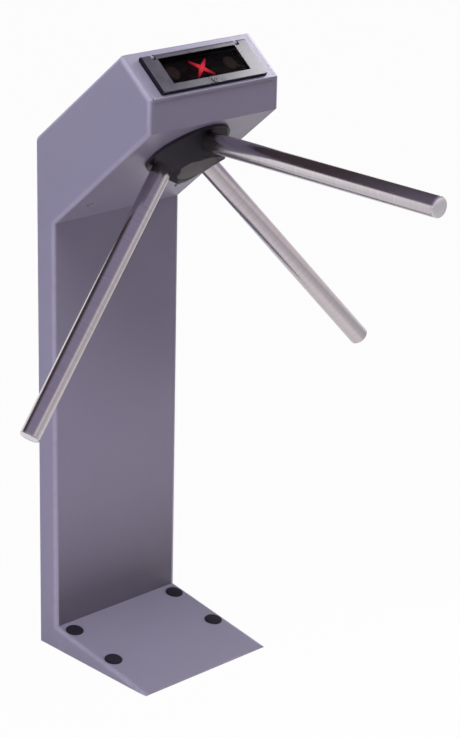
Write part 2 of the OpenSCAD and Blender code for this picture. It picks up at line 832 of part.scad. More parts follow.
// Black hub: a cone with one flat square to each arm, a round rim and a neck
module hub_body() {
    z_face = -hub_out;
    z_rim = -hub_gap - hub_rim_t;
    chamfer = 2;
    pocket_r = 16;
    bolt_seat = -8;
    color(black) difference() {
        union() {
            difference() {
                on_rotor() rotate_extrude() polygon([
                    [0, z_face], [hub_face_r - chamfer, z_face], [hub_face_r, z_face + chamfer],
                    [hub_rim_r - 1, z_rim], [hub_neck_r, z_rim + 1], [0, z_rim + 1]
                ]);
                for (k = [-1, 0, 1]) on_arm(k)
                    translate([0, 0, arm_seat]) cylinder(h = 60, r = 90);
            }
            on_rotor() {
                translate([0, 0, z_rim]) cylinder(h = hub_rim_t, r = hub_rim_r);
                translate([0, 0, z_rim]) cylinder(h = boss_z - z_rim, r = hub_neck_r);
            }
        }
        for (k = [-1, 0, 1]) on_arm(k)
            translate([0, 0, arm_start - 1]) cylinder(h = 60, r = arm_d / 2 + fit_gap);
        on_rotor() {
            translate([0, 0, z_face - 1]) cylinder(h = hub_cap_t + 1, r = hub_cap_r + air);
            translate([0, 0, z_face]) cylinder(h = bolt_seat - z_face, r = pocket_r);
            translate([0, 0, bolt_seat - 1]) cylinder(h = 40, r = 6 + fit_gap);
            for (k = [0 : 2]) rotate([0, 0, 120 * k]) {
                translate([0, -arm_screw_r(), z_face]) cylinder(h = arm_screw_h() - z_face, r = 4);
                translate([0, drive_pin_r(), boss_z - 12]) cylinder(h = 20, r = 4 + fit_gap);
            }
        }
    }
}

// Where an arm's clamping screw stands, and the depth at which it meets the tube
function arm_screw_r() = 30;
function arm_screw_h() = let (s = (arm_screw_r() + arm_d / 2 * cos(cone)) / sin(cone))
    apex_in - s * cos(cone) - arm_d / 2 * sin(cone);
function drive_pin_r() = 22;

module hub_cap() {
    color(black) on_rotor() translate([0, 0, -hub_out]) rotate_extrude() polygon([
        [0, 0], [hub_cap_r - 0.8, 0], [hub_cap_r, 0.8], [hub_cap_r, hub_cap_t], [0, hub_cap_t]
    ]);
}

module hub_bolt() {
    color(zinc) on_rotor() difference() {
        union() {
            translate([0, 0, -20]) cylinder(h = 12, r = 9);
            translate([0, 0, -8 - eps]) cylinder(h = 48, r = 6);
        }
        translate([0, 0, -21]) cylinder(h = 8, r = 5.8, $fn = 6);
    }
}

module drive_pins() {
    color(zinc) on_rotor() for (k = [0 : 2]) rotate([0, 0, 120 * k])
        translate([0, drive_pin_r(), boss_z - 11.5]) cylinder(h = 11 + flange_t, r = 4);
}

// Flanged shaft with a keyway and a threaded end
module spindle() {
    top = nut_z + nut_h + 2;
    color(steel) on_rotor() difference() {
        rotate_extrude() polygon([
            [0, boss_z], [flange_r, boss_z], [flange_r, boss_z + flange_t],
            [shoulder_r, boss_z + flange_t], [shoulder_r, bearing_z - air],
            [spindle_r, bearing_z - air], [spindle_r, nut_z], [spindle_end_r, nut_z],
            [spindle_end_r, top - 1], [spindle_end_r - 1, top], [0, top]
        ]);
        translate([0, 0, boss_z - 1]) cylinder(h = 28, r = 6 + fit_gap);
        for (k = [0 : 2]) rotate([0, 0, 120 * k])
            translate([0, drive_pin_r(), boss_z - 1]) cylinder(h = 20, r = 4 + fit_gap);
        key_block(fit_gap);
    }
}

module key_block(gap) {
    inner = spindle_r - 3.5;
    translate([inner, -key_w / 2 - gap, stack_z])
        cube([key_r - inner + gap, key_w + 2 * gap, disc_z - stack_z]);
}

module spindle_key() {
    color(zinc) on_rotor() intersection() {
        key_block(0);
        translate([0, 0, stack_z]) tube(key_r, spindle_r - 3.5 + fit_gap, disc_z - stack_z);
    }
}

module lock_wheel() {
    color(steel) on_rotor() difference() {
        union() {
            translate([0, 0, stack_z]) cylinder(h = wheel_hub, r = shoulder_r + 2);
            translate([0, 0, lock_z]) cylinder(h = lock_t, r = lock_r);
        }
        for (k = [0 : lock_notches - 1]) rotate([0, 0, 360 / lock_notches * k])
            translate([lock_r - notch_depth, -notch_w / 2, lock_z - 1])
                cube([2 * notch_depth, notch_w, lock_t + 2]);
        translate([0, 0, stack_z - 1]) cylinder(h = 20, r = spindle_r + fit_gap);
        key_block(2 * fit_gap);
    }
}

// Involute gear outline
pressure = 25;
function inv_angle(r, rb) = r <= rb ? 0 : tan(acos(rb / r)) * 180 / PI - acos(rb / r);
function polar(r, a) = [r * cos(a), r * sin(a)];
function gear_outline(z, phase) =
    let (
        rp = gear_m * z / 2,
        rb = rp * cos(pressure),
        ra = rp + gear_m * 0.95,
        rf = rp - gear_m * 1.2,
        radii = [rf, max(rf, rb) + 0.05, rp, (rp + ra) / 2, ra],
        half = 90 / z - backlash / 2 / rp * 180 / PI + inv_angle(rp, rb)
    )
    [for (i = [0 : z - 1])
        for (k = [0 : 9])
            let (
                r = k < 5 ? radii[k] : radii[9 - k],
                a = half - inv_angle(r, rb),
                side = k < 5 ? -1 : 1
            )
            polar(r, phase + 360 / z * i + side * a)
    ];

module main_gear() {
    hub_r = shoulder_r + 3;
    web_r = (hub_r + gear_m * main_teeth / 2) / 2;
    color(steel) on_rotor() difference() {
        union() {
            translate([0, 0, gear_z]) linear_extrude(gear_b) polygon(gear_outline(main_teeth, 90));
            translate([0, 0, gear_z - gear_hub]) cylinder(h = gear_b + 2 * gear_hub, r = hub_r);
        }
        for (k = [0 : 5]) rotate([0, 0, 30 + 60 * k])
            translate([web_r, 0, gear_z - 1]) cylinder(h = gear_b + 2, r = 6);
        translate([0, 0, gear_z - gear_hub - 1]) cylinder(h = 40, r = spindle_r + fit_gap);
        key_block(2 * fit_gap);
    }
}

module encoder_disc() {
    color(black) on_rotor() difference() {
        translate([0, 0, disc_z]) cylinder(h = disc_t, r = disc_r);
        for (k = [0 : 11]) rotate([0, 0, 30 * k + 15])
            translate([disc_r - 7, -2, disc_z - 1]) cube([5, 4, disc_t + 2]);
        translate([0, 0, disc_z - 1]) cylinder(h = disc_t + 2, r = spindle_r + fit_gap);
    }
}

module spindle_nut() {
    color(zinc) on_rotor() difference() {
        translate([0, 0, nut_z]) cylinder(h = nut_h, r = spindle_r + 4, $fn = 6);
        translate([0, 0, nut_z - 1]) cylinder(h = nut_h + 2, r = spindle_end_r + fit_gap);
    }
}

module arm(k) {
    color(steel) on_arm(k) translate([0, 0, arm_start])
        tube(arm_d / 2, arm_d / 2 - arm_t, arm_len - tip_t - arm_start);
}

module left_arm() {
    arm(-1);
}

module right_arm() {
    arm(1);
}

module top_arm() {
    arm(0);
}

module arm_plugs() {
    color(zinc) for (k = [-1, 0, 1]) on_arm(k)
        translate([0, 0, arm_start]) cylinder(h = arm_seat + 14 - arm_start, r = arm_d / 2 - arm_t - fit_gap);
}

// Rounded end caps on ribbed spigots
module arm_end_caps() {
    r = arm_d / 2;
    r_in = r - arm_t - fit_gap;
    color(steel) for (k = [-1, 0, 1]) on_arm(k) translate([0, 0, arm_len - tip_t])
        rotate_extrude() union() {
            polygon([[0, -14], [r_in - 2, -14], [r_in, -12], [r_in, eps], [0, eps]]);
            polygon([[0, 0], [r, 0], [r, tip_t - 2], [r - 0.6, tip_t - 0.6], [r - 2, tip_t], [0, tip_t]]);
        }
}

// Grub screws that clamp the arms, under the hub's cap
module arm_screws() {
    z0 = -hub_out + hub_cap_t + 0.4;
    z1 = arm_screw_h() - 4 / tan(cone) - air;
    color(zinc) on_rotor() for (k = [0 : 2]) rotate([0, 0, 120 * k])
        translate([0, -arm_screw_r(), z0]) difference() {
            cylinder(h = z1 - z0, r = 4 - fit_gap);
            translate([0, 0, -1]) cylinder(h = 3, r = 2.3, $fn = 6);
        }
}

// Pinion on its shaft: turns three times for each turn of the rotor
module index_pinion() {
    root = gear_m * index_teeth / 2 - 3;
    z0 = gear_z - gear_hub - lock_t;
    color(steel) on_rotor() translate([0, index_y, 0]) {
        translate([0, 0, gear_z]) linear_extrude(gear_b)
            polygon(gear_outline(index_teeth, 270 - 180 / index_teeth));
        translate([0, 0, z0]) cylinder(h = crank_z - z0, r = root - 2);
        translate([0, 0, plate_z - 4]) cylinder(h = crank_z + crank_t - plate_z + 4, r = index_shaft_r);
    }
}

module index_crank() {
    color(zinc) on_rotor() translate([0, index_y, crank_z]) {
        difference() {
            cylinder(h = crank_t, r = crank_disc_r);
            translate([0, 0, -1]) cylinder(h = crank_t + 2, r = index_shaft_r + fit_gap);
        }
        translate([0, crank_r, crank_t - eps]) cylinder(h = crank_pin_h, r = crank_pin_r);
        translate([0, crank_r, crank_t + crank_pin_h - eps]) cylinder(h = 1.5, r = crank_pin_r + 1.5);
    }
}

// Round wire swept along a path of points, as one closed surface
function sweep_points(path, r, sides) = [
    for (i = [0 : len(path) - 1])
        let (
            a = path[max(i - 1, 0)],
            b = path[min(i + 1, len(path) - 1)],
            t = unit(b - a),
            n = unit(cross(t, [0.31, 0.17, 0.93])),
            m = cross(t, n)
        )
        for (k = [0 : sides - 1]) path[i] + r * (cos(360 / sides * k) * n + sin(360 / sides * k) * m)
];
module wire(path, r, sides) {
    n = len(path);
    side_faces = [
        for (i = [0 : n - 2], k = [0 : sides - 1], half = [0, 1])
            let (a = i * sides + k, b = i * sides + (k + 1) % sides)
            half == 0 ? [a, a + sides, b] : [b, a + sides, b + sides]
    ];
    first = [for (k = [1 : sides - 2]) [0, k, k + 1]];
    last = [for (k = [1 : sides - 2]) [(n - 1) * sides, (n - 1) * sides + k + 1, (n - 1) * sides + k]];
    polyhedron(points = sweep_points(path, r, sides), faces = concat(side_faces, first, last));
}
function coil(l, r, turns, steps) = [
    for (i = [0 : turns * steps]) [r * cos(360 / steps * i), l * i / turns / steps, r * sin(360 / steps * i)]
];

// Points on a circle in the level plane, from one angle to another
function bow(c, r, a0, a1, steps) = [
    for (i = [0 : steps]) let (a = a0 + (a1 - a0) * i / steps) c + [r * cos(a), r * sin(a), 0]
];

// Extension spring between the crank pin and the post, with an open hook at each end
module index_spring() {
    wire_r = 1;
    coil_r = 5.5;
    steps = 10;
    shank = 4;
    pin_hook = crank_pin_r + wire_r + air;
    post_hook = spring_post_r + wire_r + air;
    pin = [0, index_y + crank_r, hook_z];
    post = [0, post_y, hook_z];
    y0 = pin[1] + pin_hook + shank;
    l = post_y - post_hook - shank - y0;
    turns = max(3, floor(l / (3.85 * wire_r)));
    n = turns * steps;
    coils = [
        for (i = [0 : n])
            let (r = coil_r * min(1, i / steps, (n - i) / steps), a = 360 / steps * i)
            [r * cos(a), y0 + l * i / n, hook_z + r * sin(a)]
    ];
    color(zinc) on_rotor()
        wire(concat(bow(pin, pin_hook, -40, -270, 10), coils, bow(post, post_hook, -90, 140, 10)), wire_r, 6);
}

module damper_pinion() {
    shaft_r = index_shaft_r - 2;
    z0 = plate_top + 6;
    color(steel) on_rotor() translate([0, damper_y, 0]) {
        translate([0, 0, gear_z]) linear_extrude(gear_b)
            polygon(gear_outline(damper_teeth, 90 - 180 / damper_teeth));
        translate([0, 0, z0]) cylinder(h = gear_z + eps - z0, r = shaft_r);
    }
}

// Lock pawl: a long lever with a hooked tooth for the wheel and a link pin at its tail
module pawl() {
    tip_x = lock_r + pawl_clear;
    px = pawl_pivot[0];
    py = pawl_pivot[1];
    tx = pawl_tail[0];
    ty = pawl_tail[1];
    arm_half = 4.5;
    difference() {
        union() {
            translate([0, 0, lock_z]) linear_extrude(lock_t) union() {
                translate(pawl_pivot) circle(r = pawl_boss_r);
                translate(pawl_tail) circle(r = tail_r);
                polygon([
                    [px - arm_half, py], [px + arm_half, py], [tx + arm_half, ty], [tx - arm_half, ty]
                ]);
                polygon([[px, -7.5], [tip_x, -0.2], [tip_x, 4.3], [px, 6]]);
            }
            translate([tx, ty, lock_z - fork_gap - fork_t])
                cylinder(h = lock_t + 2 * (fork_gap + fork_t), r = link_r);
        }
        translate([px, py, lock_z - 1]) cylinder(h = lock_t + 2, r = pin_r + fit_gap);
    }
}

module right_pawl() {
    color(steel) on_rotor() pawl();
}

module left_pawl() {
    color(steel) on_rotor() mirror([1, 0, 0]) pawl();
}

// Solenoid plunger with a slotted fork for the pawl's link pin, and its return disc
module plunger() {
    tx = pawl_tail[0];
    ty = pawl_tail[1];
    web_x = tx + tail_r + 2.5;
    web_t = 3.5;
    far_x = solenoid_x + solenoid_l + bracket_t + spring_room;
    z0 = lock_z - fork_gap - fork_t;
    h = lock_t + 2 * (fork_gap + fork_t);
    slot_r = link_r + slot_play;
    difference() {
        translate([tx - 5.5, ty - 6.5, z0]) cube([web_x + web_t - tx + 5.5, 13, h]);
        translate([tx - 7, ty - 8, lock_z - fork_gap])
            cube([web_x - tx + 7, 16, lock_t + 2 * fork_gap]);
        for (d = [-1, 0, 1]) translate([tx, ty + d, z0 - 1]) cylinder(h = h + 2, r = slot_r);
    }
    translate([web_x + web_t - eps, ty, pawl_mid_z]) rotate([0, 90, 0])
        cylinder(h = far_x + 3 - web_x - web_t, r = plunger_r);
    translate([far_x, ty, pawl_mid_z]) rotate([0, 90, 0]) cylinder(h = 2.5, r = 8.5);
}

module right_plunger() {
    color(steel) on_rotor() plunger();
}

module left_plunger() {
    color(steel) on_rotor() mirror([1, 0, 0]) plunger();
}

// Raised lid with a rounded hinge edge, window frame and posts for the lamp board
module display_lid() {
    notch = knuckle_w;
    color([0.7, 0.69, 0.74]) on_lid() difference() {
        union() {
            difference() {
                lid_block(lid_gap);
                translate([0, 0, -eps]) lid_pocket();
            }
            for (x = [-1, 1], y = [-1, 1])
                translate([x * (board_w / 2 - 4), board_y + y * (board_l / 2 - 4), board_z + board_t])
                    cylinder(h = lid_h - lid_top_t + eps - board_z - board_t, r = 3);
        }
        translate([-window_w / 2, -window_back - window_l, -1]) cube([window_w, window_l, lid_h + 2]);
        translate([-window_w / 2 - window_lap, -window_back - window_l - window_lap, lid_h - lid_top_t - 1])
            cube([window_w + 2 * window_lap, window_l + 2 * window_lap, lid_top_t - lid_lip + 1]);
        for (x = [-hinge_x, hinge_x]) {
            translate([x - notch / 2, -2 * hinge_r - 2, -1]) cube([notch, 2 * hinge_r + 4, lid_h + 2]);
            translate([x - notch / 2 - 3, hinge_y, hinge_z]) rotate([0, 90, 0])
                cylinder(h = notch + 6, r = hinge_pin_r + fit_gap);
        }
        translate([0, lock_y, -1]) cylinder(h = lid_h + 2, r = barrel_r + fit_gap);
    }
}

module lid_block(z0) {
    translate([-lid_w / 2, 0, 0]) rotate([90, 0, 90]) linear_extrude(lid_w) union() {
        translate([hinge_y, hinge_z]) circle(r = hinge_r);
        translate([-lid_l, z0]) square([lid_l - hinge_r, lid_h - z0]);
    }
}

module lid_pocket() {
    back = 2 * hinge_r + 1.5;
    translate([-lid_w / 2 + lid_wall, -lid_l + lid_wall, -1])
        cube([lid_w - 2 * lid_wall, lid_l - lid_wall - back, lid_h - lid_top_t + 1]);
}

module display_window() {
    w = window_w + 2 * window_lap - 2 * air;
    l = window_l + 2 * window_lap - 2 * air;
    color([0.05, 0.05, 0.06]) on_lid()
        translate([-w / 2, -window_back - window_l / 2 - l / 2, lid_h - lid_lip - window_t])
            cube([w, l, window_t]);
}

// Lamp board: a crossed mark of red lamps between two round green ones
module led_board() {
    color(black) on_lid() translate([-board_w / 2, board_y - board_l / 2, board_z])
        cube([board_w, board_l, board_t]);
    color([0.85, 0.1, 0.15]) on_lid() translate([0, board_y, board_z + board_t - eps])
        linear_extrude(lamp_t) for (m = [0, 1]) mirror([m, 0]) rotate(42)
            polygon([
                [-cross_l / 2, -1.5], [0, -4], [cross_l / 2, -1.5],
                [cross_l / 2, 1.5], [0, 4], [-cross_l / 2, 1.5]
            ]);
    color([0.2, 0.15, 0.14]) on_lid() for (x = [-round_lamp_x, round_lamp_x])
        translate([x, board_y, board_z + board_t - eps]) cylinder(h = lamp_t, r = round_lamp_r);
}

module lock_barrel() {
    color(zinc) on_lid() translate([0, lock_y, 0]) difference() {
        union() {
            translate([0, 0, lid_h]) cylinder(h = 1.2, r = lock_head_r);
            translate([0, 0, cam_z + cam_t + air])
                cylinder(h = lid_h + eps - cam_z - cam_t - air, r = barrel_r);
        }
        translate([0, 0, cam_z]) cylinder(h = lid_h - cam_z + 4, r = plug_r + run_gap);
    }
}

// Key plug with its slot, and the cam that catches under the display face
module lock_plug() {
    color(zinc) on_lid() translate([0, lock_y, 0]) {
        difference() {
            translate([0, 0, cam_z - 2]) cylinder(h = lid_h + 1 - cam_z + 2, r = plug_r);
            translate([-0.8 * plug_r, -0.5, lid_h - 2]) cube([1.6 * plug_r, 1, 4]);
        }
        translate([0, 0, cam_z]) linear_extrude(cam_t) union() {
            circle(r = plug_r + 1);
            translate([-cam_reach + 2.5, -2.5]) square([cam_reach - 2.5, 5]);
            translate([-cam_reach + 2.5, 0]) circle(r = 2.5);
        }
    }
}

left_cheek();
right_cheek();
column_front();
underside_panel();
nose_panel();
top_deck();
rear_cover();
cover_screws();
foot_cover();
anchor_caps();
base_plate();
base_gussets();
cable_grommet();
spine();
head_bracket();
mechanism_plate();
plate_posts();
frame_screws();
bearing_housing();
rotor_bearings();
index_sleeve();
spring_post();
pawl_pins();
solenoids();
left_return_spring();
right_return_spring();
damper_body();
sensor_bracket();
rotation_sensor();
controller_board();
power_supply();
hub_body();
hub_cap();
hub_bolt();
drive_pins();
spindle();
spindle_key();
lock_wheel();
main_gear();
encoder_disc();
spindle_nut();
left_arm();
right_arm();
top_arm();
arm_plugs();
arm_end_caps();
arm_screws();
index_pinion();
index_crank();
index_spring();
damper_pinion();
left_pawl();
right_pawl();
left_plunger();
right_plunger();
display_lid();
display_window();
led_board();
lock_barrel();
lock_plug();
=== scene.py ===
# %% [markdown]
# # Dressing a tripod turnstile
#
# The turnstile is already built at real size in CAD: a narrow steel housing, an inclined rotor with three
# tube arms, and a display module on the head. Here it gets its looks. Nothing is moved or resized. Pieces
# that show are copied from the CAD solids, cleaned and given soft edges, and what repeats, such as lamps and
# screws, grows from Geometry Nodes.

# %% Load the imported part
import json
import math

import bmesh
import bpy
from mathutils import Matrix, Vector


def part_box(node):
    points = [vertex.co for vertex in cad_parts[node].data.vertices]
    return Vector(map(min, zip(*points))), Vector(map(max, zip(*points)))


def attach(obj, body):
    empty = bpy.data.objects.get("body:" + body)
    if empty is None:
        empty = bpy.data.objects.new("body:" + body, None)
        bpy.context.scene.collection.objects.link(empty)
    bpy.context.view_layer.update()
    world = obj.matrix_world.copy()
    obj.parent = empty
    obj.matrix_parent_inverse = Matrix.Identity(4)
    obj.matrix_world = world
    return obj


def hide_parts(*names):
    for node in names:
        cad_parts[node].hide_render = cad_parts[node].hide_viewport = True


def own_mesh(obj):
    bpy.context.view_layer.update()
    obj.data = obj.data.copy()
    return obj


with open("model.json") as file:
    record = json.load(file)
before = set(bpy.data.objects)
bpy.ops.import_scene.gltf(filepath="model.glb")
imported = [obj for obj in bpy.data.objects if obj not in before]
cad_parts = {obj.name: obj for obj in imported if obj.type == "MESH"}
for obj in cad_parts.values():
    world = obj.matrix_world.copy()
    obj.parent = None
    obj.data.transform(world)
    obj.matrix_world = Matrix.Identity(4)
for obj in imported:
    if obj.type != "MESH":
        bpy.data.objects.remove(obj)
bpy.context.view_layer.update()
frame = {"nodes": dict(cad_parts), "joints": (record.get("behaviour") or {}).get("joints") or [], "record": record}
cad_nodes = frame["nodes"]
scene = bpy.context.scene
joints = {joint["name"]: joint for joint in frame["joints"]}
body_of = {node: body for body, nodes in frame["record"]["behaviour"]["bodies"].items() for node in nodes}
slot_of = {part["node"]: part["material_slot"] for part in frame["record"]["subparts"]}

# %% [markdown]
# ## The camera
#
# The photograph was taken with a long lens from the front left, a little above the head. Its place was found
# by fitting the housing's corners to the picture, so it is written as a point and two directions instead of
# angles. The focal length was measured in pixels of the picture's long side, and Blender's sensor width
# stands for the long side too, so a simple ratio turns one into the other.

# %% Place the camera
EYE = Vector((-2.3858, -2.6772, 1.8016))
CAMERA_RIGHT = Vector((0.72575, -0.68766, 0.02009)).normalized()
CAMERA_UP = Vector((0.22212, 0.26187, 0.93920)).normalized()
FOCAL_PX = 2335.96
LONG_SIDE_PX = 738

camera_data = bpy.data.cameras.new("camera")
camera_data.sensor_width = 36
camera_data.lens = FOCAL_PX * camera_data.sensor_width / LONG_SIDE_PX
camera_data.clip_end = 60
camera = bpy.data.objects.new("camera", camera_data)
scene.collection.objects.link(camera)
camera_back = CAMERA_RIGHT.cross(CAMERA_UP)
turn = Matrix((CAMERA_RIGHT, camera_back.cross(CAMERA_RIGHT), camera_back)).transposed()
camera.matrix_world = Matrix.Translation(EYE) @ turn.to_4x4()
scene.camera = camera
print("lens", round(camera_data.lens, 2), "mm")

# %% [markdown]
# ## Small tools for node trees
#
# Shaders, the world and Geometry Nodes are all trees of nodes and links. One helper adds a node, sets its
# options and fills its inputs, and takes either a value or another node's output for each input. Three more do
# sums, blend two colours, and stretch a range of values onto another. They keep every tree below short enough
# to read.

# %% Helpers that add nodes
def add_node(tree, kind, inputs=None, **options):
    node = tree.nodes.new(kind)
    for option, value in options.items():
        setattr(node, option, value)
    for key, value in (inputs or {}).items():
        if isinstance(value, bpy.types.NodeSocket):
            tree.links.new(value, node.inputs[key])
        else:
            node.inputs[key].default_value = value
    return node


def calculate(tree, operation, first, second=0.0, clamp=False):
    inputs = {0: first, 1: second}
    return add_node(tree, "ShaderNodeMath", inputs, operation=operation, use_clamp=clamp).outputs[0]


def blend_colours(tree, share, first, second):
    return add_node(tree, "ShaderNodeMix", {0: share, 6: first, 7: second}, data_type="RGBA").outputs[2]


def spread(tree, value, low, high, to_low=0.0, to_high=1.0):
    inputs = {0: value, 1: low, 2: high, 3: to_low, 4: to_high}
    return add_node(tree, "ShaderNodeMapRange", inputs).outputs[0]


# %% [markdown]
# ## The backdrop
#
# The picture is a product shot on white. The backdrop is bright near the horizon, dark above it at the back and
# pale violet in front: that is what draws the dark half and the bright band on each polished arm. It could be a
# picture of a studio, but blends of plain colours by direction are enough. Light that spreads into the paint
# gets an even grey instead, and the camera itself sees plain white.

# %% Paint the backdrop
WHITE = (1, 1, 1, 1)
BACK_BEGINS, BACK_FULL = 0.15, 0.62
HORIZON_ENDS, WALL_BEGINS = 0.17, 0.28

scene.view_settings.view_transform = "Standard"
world = bpy.data.worlds.new("studio")
world.use_nodes = True
scene.world = world
sky = world.node_tree
sky.nodes.clear()
direction = add_node(sky, "ShaderNodeSeparateXYZ", {0: add_node(sky, "ShaderNodeTexCoord").outputs["Generated"]})
backward = spread(sky, direction.outputs["Y"], BACK_BEGINS, BACK_FULL)
wall = blend_colours(sky, backward, (0.30, 0.27, 0.38, 1), (0.055, 0.042, 0.045, 1))
horizon = blend_colours(sky, backward, (0.80, 0.73, 0.75, 1), (1.15, 1.10, 1.13, 1))
climb = spread(sky, direction.outputs["Z"], HORIZON_ENDS, WALL_BEGINS)
dome = blend_colours(sky, climb, horizon, wall)
ray = add_node(sky, "ShaderNodeLightPath")
seen = blend_colours(sky, ray.outputs["Is Diffuse Ray"], dome, (0.16, 0.15, 0.18, 1))
seen = blend_colours(sky, ray.outputs["Is Camera Ray"], seen, WHITE)
backdrop = add_node(sky, "ShaderNodeBackground", {"Color": seen, "Strength": 1.0})
add_node(sky, "ShaderNodeOutputWorld", {0: backdrop.outputs[0]})
print("backdrop nodes:", len(sky.nodes))

# %% [markdown]
# ## Softboxes
#
# Most of the light falls from a large softbox overhead, a cool one fills the left side, a weak one the right of
# the foot, and a small one near the head lets the display shine at its right end. Mirror rays see only the last
# of them, so the others leave no streak on the polished tubes. The small ones throw a narrow beam, which keeps
# their light where it is wanted.

# %% Hang the softboxes
def softbox(name, place, aim, size, watts, colour, beam=180, mirrored=False):
    light = bpy.data.lights.new(name, "AREA")
    light.shape = "RECTANGLE"
    light.size, light.size_y = size
    light.energy = watts
    light.color = colour
    light.spread = math.radians(beam)
    lamp = bpy.data.objects.new(name, light)
    lamp.location = place
    lamp.rotation_mode = "QUATERNION"
    lamp.rotation_quaternion = (Vector(aim) - Vector(place)).to_track_quat("-Z", "Y")
    lamp.visible_camera = False
    lamp.visible_glossy = mirrored
    scene.collection.objects.link(lamp)


softbox("roof_softbox", (-0.30, -0.62, 2.7), (0, -0.1, 0.5), (1.4, 1.2), 33, (0.98, 0.96, 0.99))
softbox("left_softbox", (-2.2, -0.3, 0.4), (0, 0, 0.4), (1.0, 1.2), 24, (0.78, 0.80, 1.0))
softbox("right_softbox", (0.95, -0.85, 0.55), (0.05, -0.3, 0.05), (0.5, 0.5), 1.5, (1.0, 0.97, 1.0), 60)
softbox("deck_softbox", (0.76, -0.16, 1.47), (0.08, -0.12, 1.01), (0.36, 0.4), 0.41, (1.0, 0.99, 1.0), 50, True)
print("lights:", [light.name for light in bpy.data.lights])

# %% [markdown]
# ## The floor
#
# In the picture the floor is white and has no edge, yet it throws warm light up under the head. So one large plane
# does both: it is matt and pale for light that spreads, and it glows for the camera. For mirror rays it glows
# in part, more at the back than in front, which gives the arms a pale underside.

# %% Lay the floor
FLOOR_HALF, FLOOR_LEVEL = 9, -0.0008
FLOOR_FRONT, FLOOR_BACK = -0.8, 1.2
floor_mesh = bpy.data.meshes.new("floor")
corners = [(FLOOR_HALF * x, FLOOR_HALF * y, FLOOR_LEVEL) for x, y in [(-1, -1), (1, -1), (1, 1), (-1, 1)]]
floor_mesh.from_pydata(corners, [], [(0, 1, 2, 3)])
floor = bpy.data.objects.new("floor", floor_mesh)
scene.collection.objects.link(floor)
floor_material = bpy.data.materials.new("floor")
floor_material.use_nodes = True
tree = floor_material.node_tree
matt = tree.nodes["Principled BSDF"]
matt.inputs["Base Color"].default_value = (0.76, 0.69, 0.67, 1)
matt.inputs["Roughness"].default_value = 0.9
glow = add_node(tree, "ShaderNodeEmission", {"Color": WHITE, "Strength": 1.0})
ray = add_node(tree, "ShaderNodeLightPath")
place = add_node(tree, "ShaderNodeSeparateXYZ", {0: add_node(tree, "ShaderNodeTexCoord").outputs["Object"]})
mirror_share = spread(tree, place.outputs["Y"], FLOOR_FRONT, FLOOR_BACK, 0.42, 0.9)
share = calculate(tree, "MULTIPLY", ray.outputs["Is Glossy Ray"], mirror_share)
share = calculate(tree, "ADD", share, calculate(tree, "MULTIPLY", ray.outputs["Is Camera Ray"], 0.97))
both = add_node(tree, "ShaderNodeMixShader", {0: share, 1: matt.outputs[0], 2: glow.outputs[0]})
tree.links.new(both.outputs[0], tree.nodes["Material Output"].inputs[0])
floor_mesh.materials.append(floor_material)
print("floor glows for mirror rays from", FLOOR_FRONT, "to", FLOOR_BACK, "m")

# %% [markdown]
# ## Effects that several finishes share
#
# Powder coat, moulded plastic, plated steel and polished tube differ in colour, but each has fine relief, uneven
# sheen from handling, and a little dust. Each effect is a small shader group with its own inputs. The groups
# put out only masks and heights, and the shader itself stays in the material.

# %% A helper for shader groups
def shader_group(name, inputs, outputs):
    group = bpy.data.node_groups.new(name, "ShaderNodeTree")
    for label, value in inputs.items():
        kind = "NodeSocketVector" if value is None else "NodeSocketFloat"
        socket = group.interface.new_socket(label, in_out="INPUT", socket_type=kind)
        if value is not None:
            socket.default_value = value
    for label in outputs:
        group.interface.new_socket(label, in_out="OUTPUT", socket_type="NodeSocketFloat")
    return group, group.nodes.new("NodeGroupInput").outputs, group.nodes.new("NodeGroupOutput").inputs


def noise(tree, place, scale, detail=2.0, roughness=0.5):
    inputs = {"Vector": place, "Scale": scale, "Detail": detail, "Roughness": roughness}
    return add_node(tree, "ShaderNodeTexNoise", inputs).outputs[0]


# %% Coat skin and handling
# Orange peel and metal flake of a powder coat
coat_skin, given, put = shader_group("coat_skin", {"Place": None, "Peel": 900.0, "Flake": 2600.0},
                                     ["Relief", "Flake"])
coat_skin.links.new(noise(coat_skin, given["Place"], given["Peel"], 1.5), put["Relief"])
flakes = add_node(coat_skin, "ShaderNodeTexVoronoi", {"Vector": given["Place"], "Scale": given["Flake"]})
sparkle = add_node(coat_skin, "ShaderNodeSeparateColor", {0: flakes.outputs["Color"]}).outputs[0]
coat_skin.links.new(sparkle, put["Flake"])

# Slow changes of sheen where a surface has been wiped and touched
handling, given, put = shader_group("handling", {"Place": None, "Size": 9.0}, ["Smudge", "Speck"])
smudge = noise(handling, given["Place"], given["Size"], 4.0, 0.6)
handling.links.new(spread(handling, smudge, 0.35, 0.7), put["Smudge"])
fine = noise(handling, given["Place"], calculate(handling, "MULTIPLY", given["Size"], 45.0), 2.0)
handling.links.new(spread(handling, fine, 0.64, 0.72), put["Speck"])
print("groups:", coat_skin.name, "and", handling.name)

# %% Dust, grime and painted edge highlights
# Dust that settles on what faces up, and street grime near the floor
settled, given, put = shader_group("settled_dust", {"Place": None, "Reach": 0.12}, ["Dust", "Grime"])
normal = add_node(settled, "ShaderNodeNewGeometry").outputs["Normal"]
facing = add_node(settled, "ShaderNodeSeparateXYZ", {0: normal})
patchy = spread(settled, noise(settled, given["Place"], 38.0, 5.0, 0.65), 0.3, 0.75)
upward = spread(settled, facing.outputs["Z"], 0.45, 1.0)
settled.links.new(calculate(settled, "MULTIPLY", upward, patchy, clamp=True), put["Dust"])
rise = add_node(settled, "ShaderNodeSeparateXYZ", {0: given["Place"]}).outputs["Z"]
low_down = calculate(settled, "SUBTRACT", 1.0, calculate(settled, "DIVIDE", rise, given["Reach"]), clamp=True)
settled.links.new(calculate(settled, "MULTIPLY", low_down, patchy, clamp=True), put["Grime"])
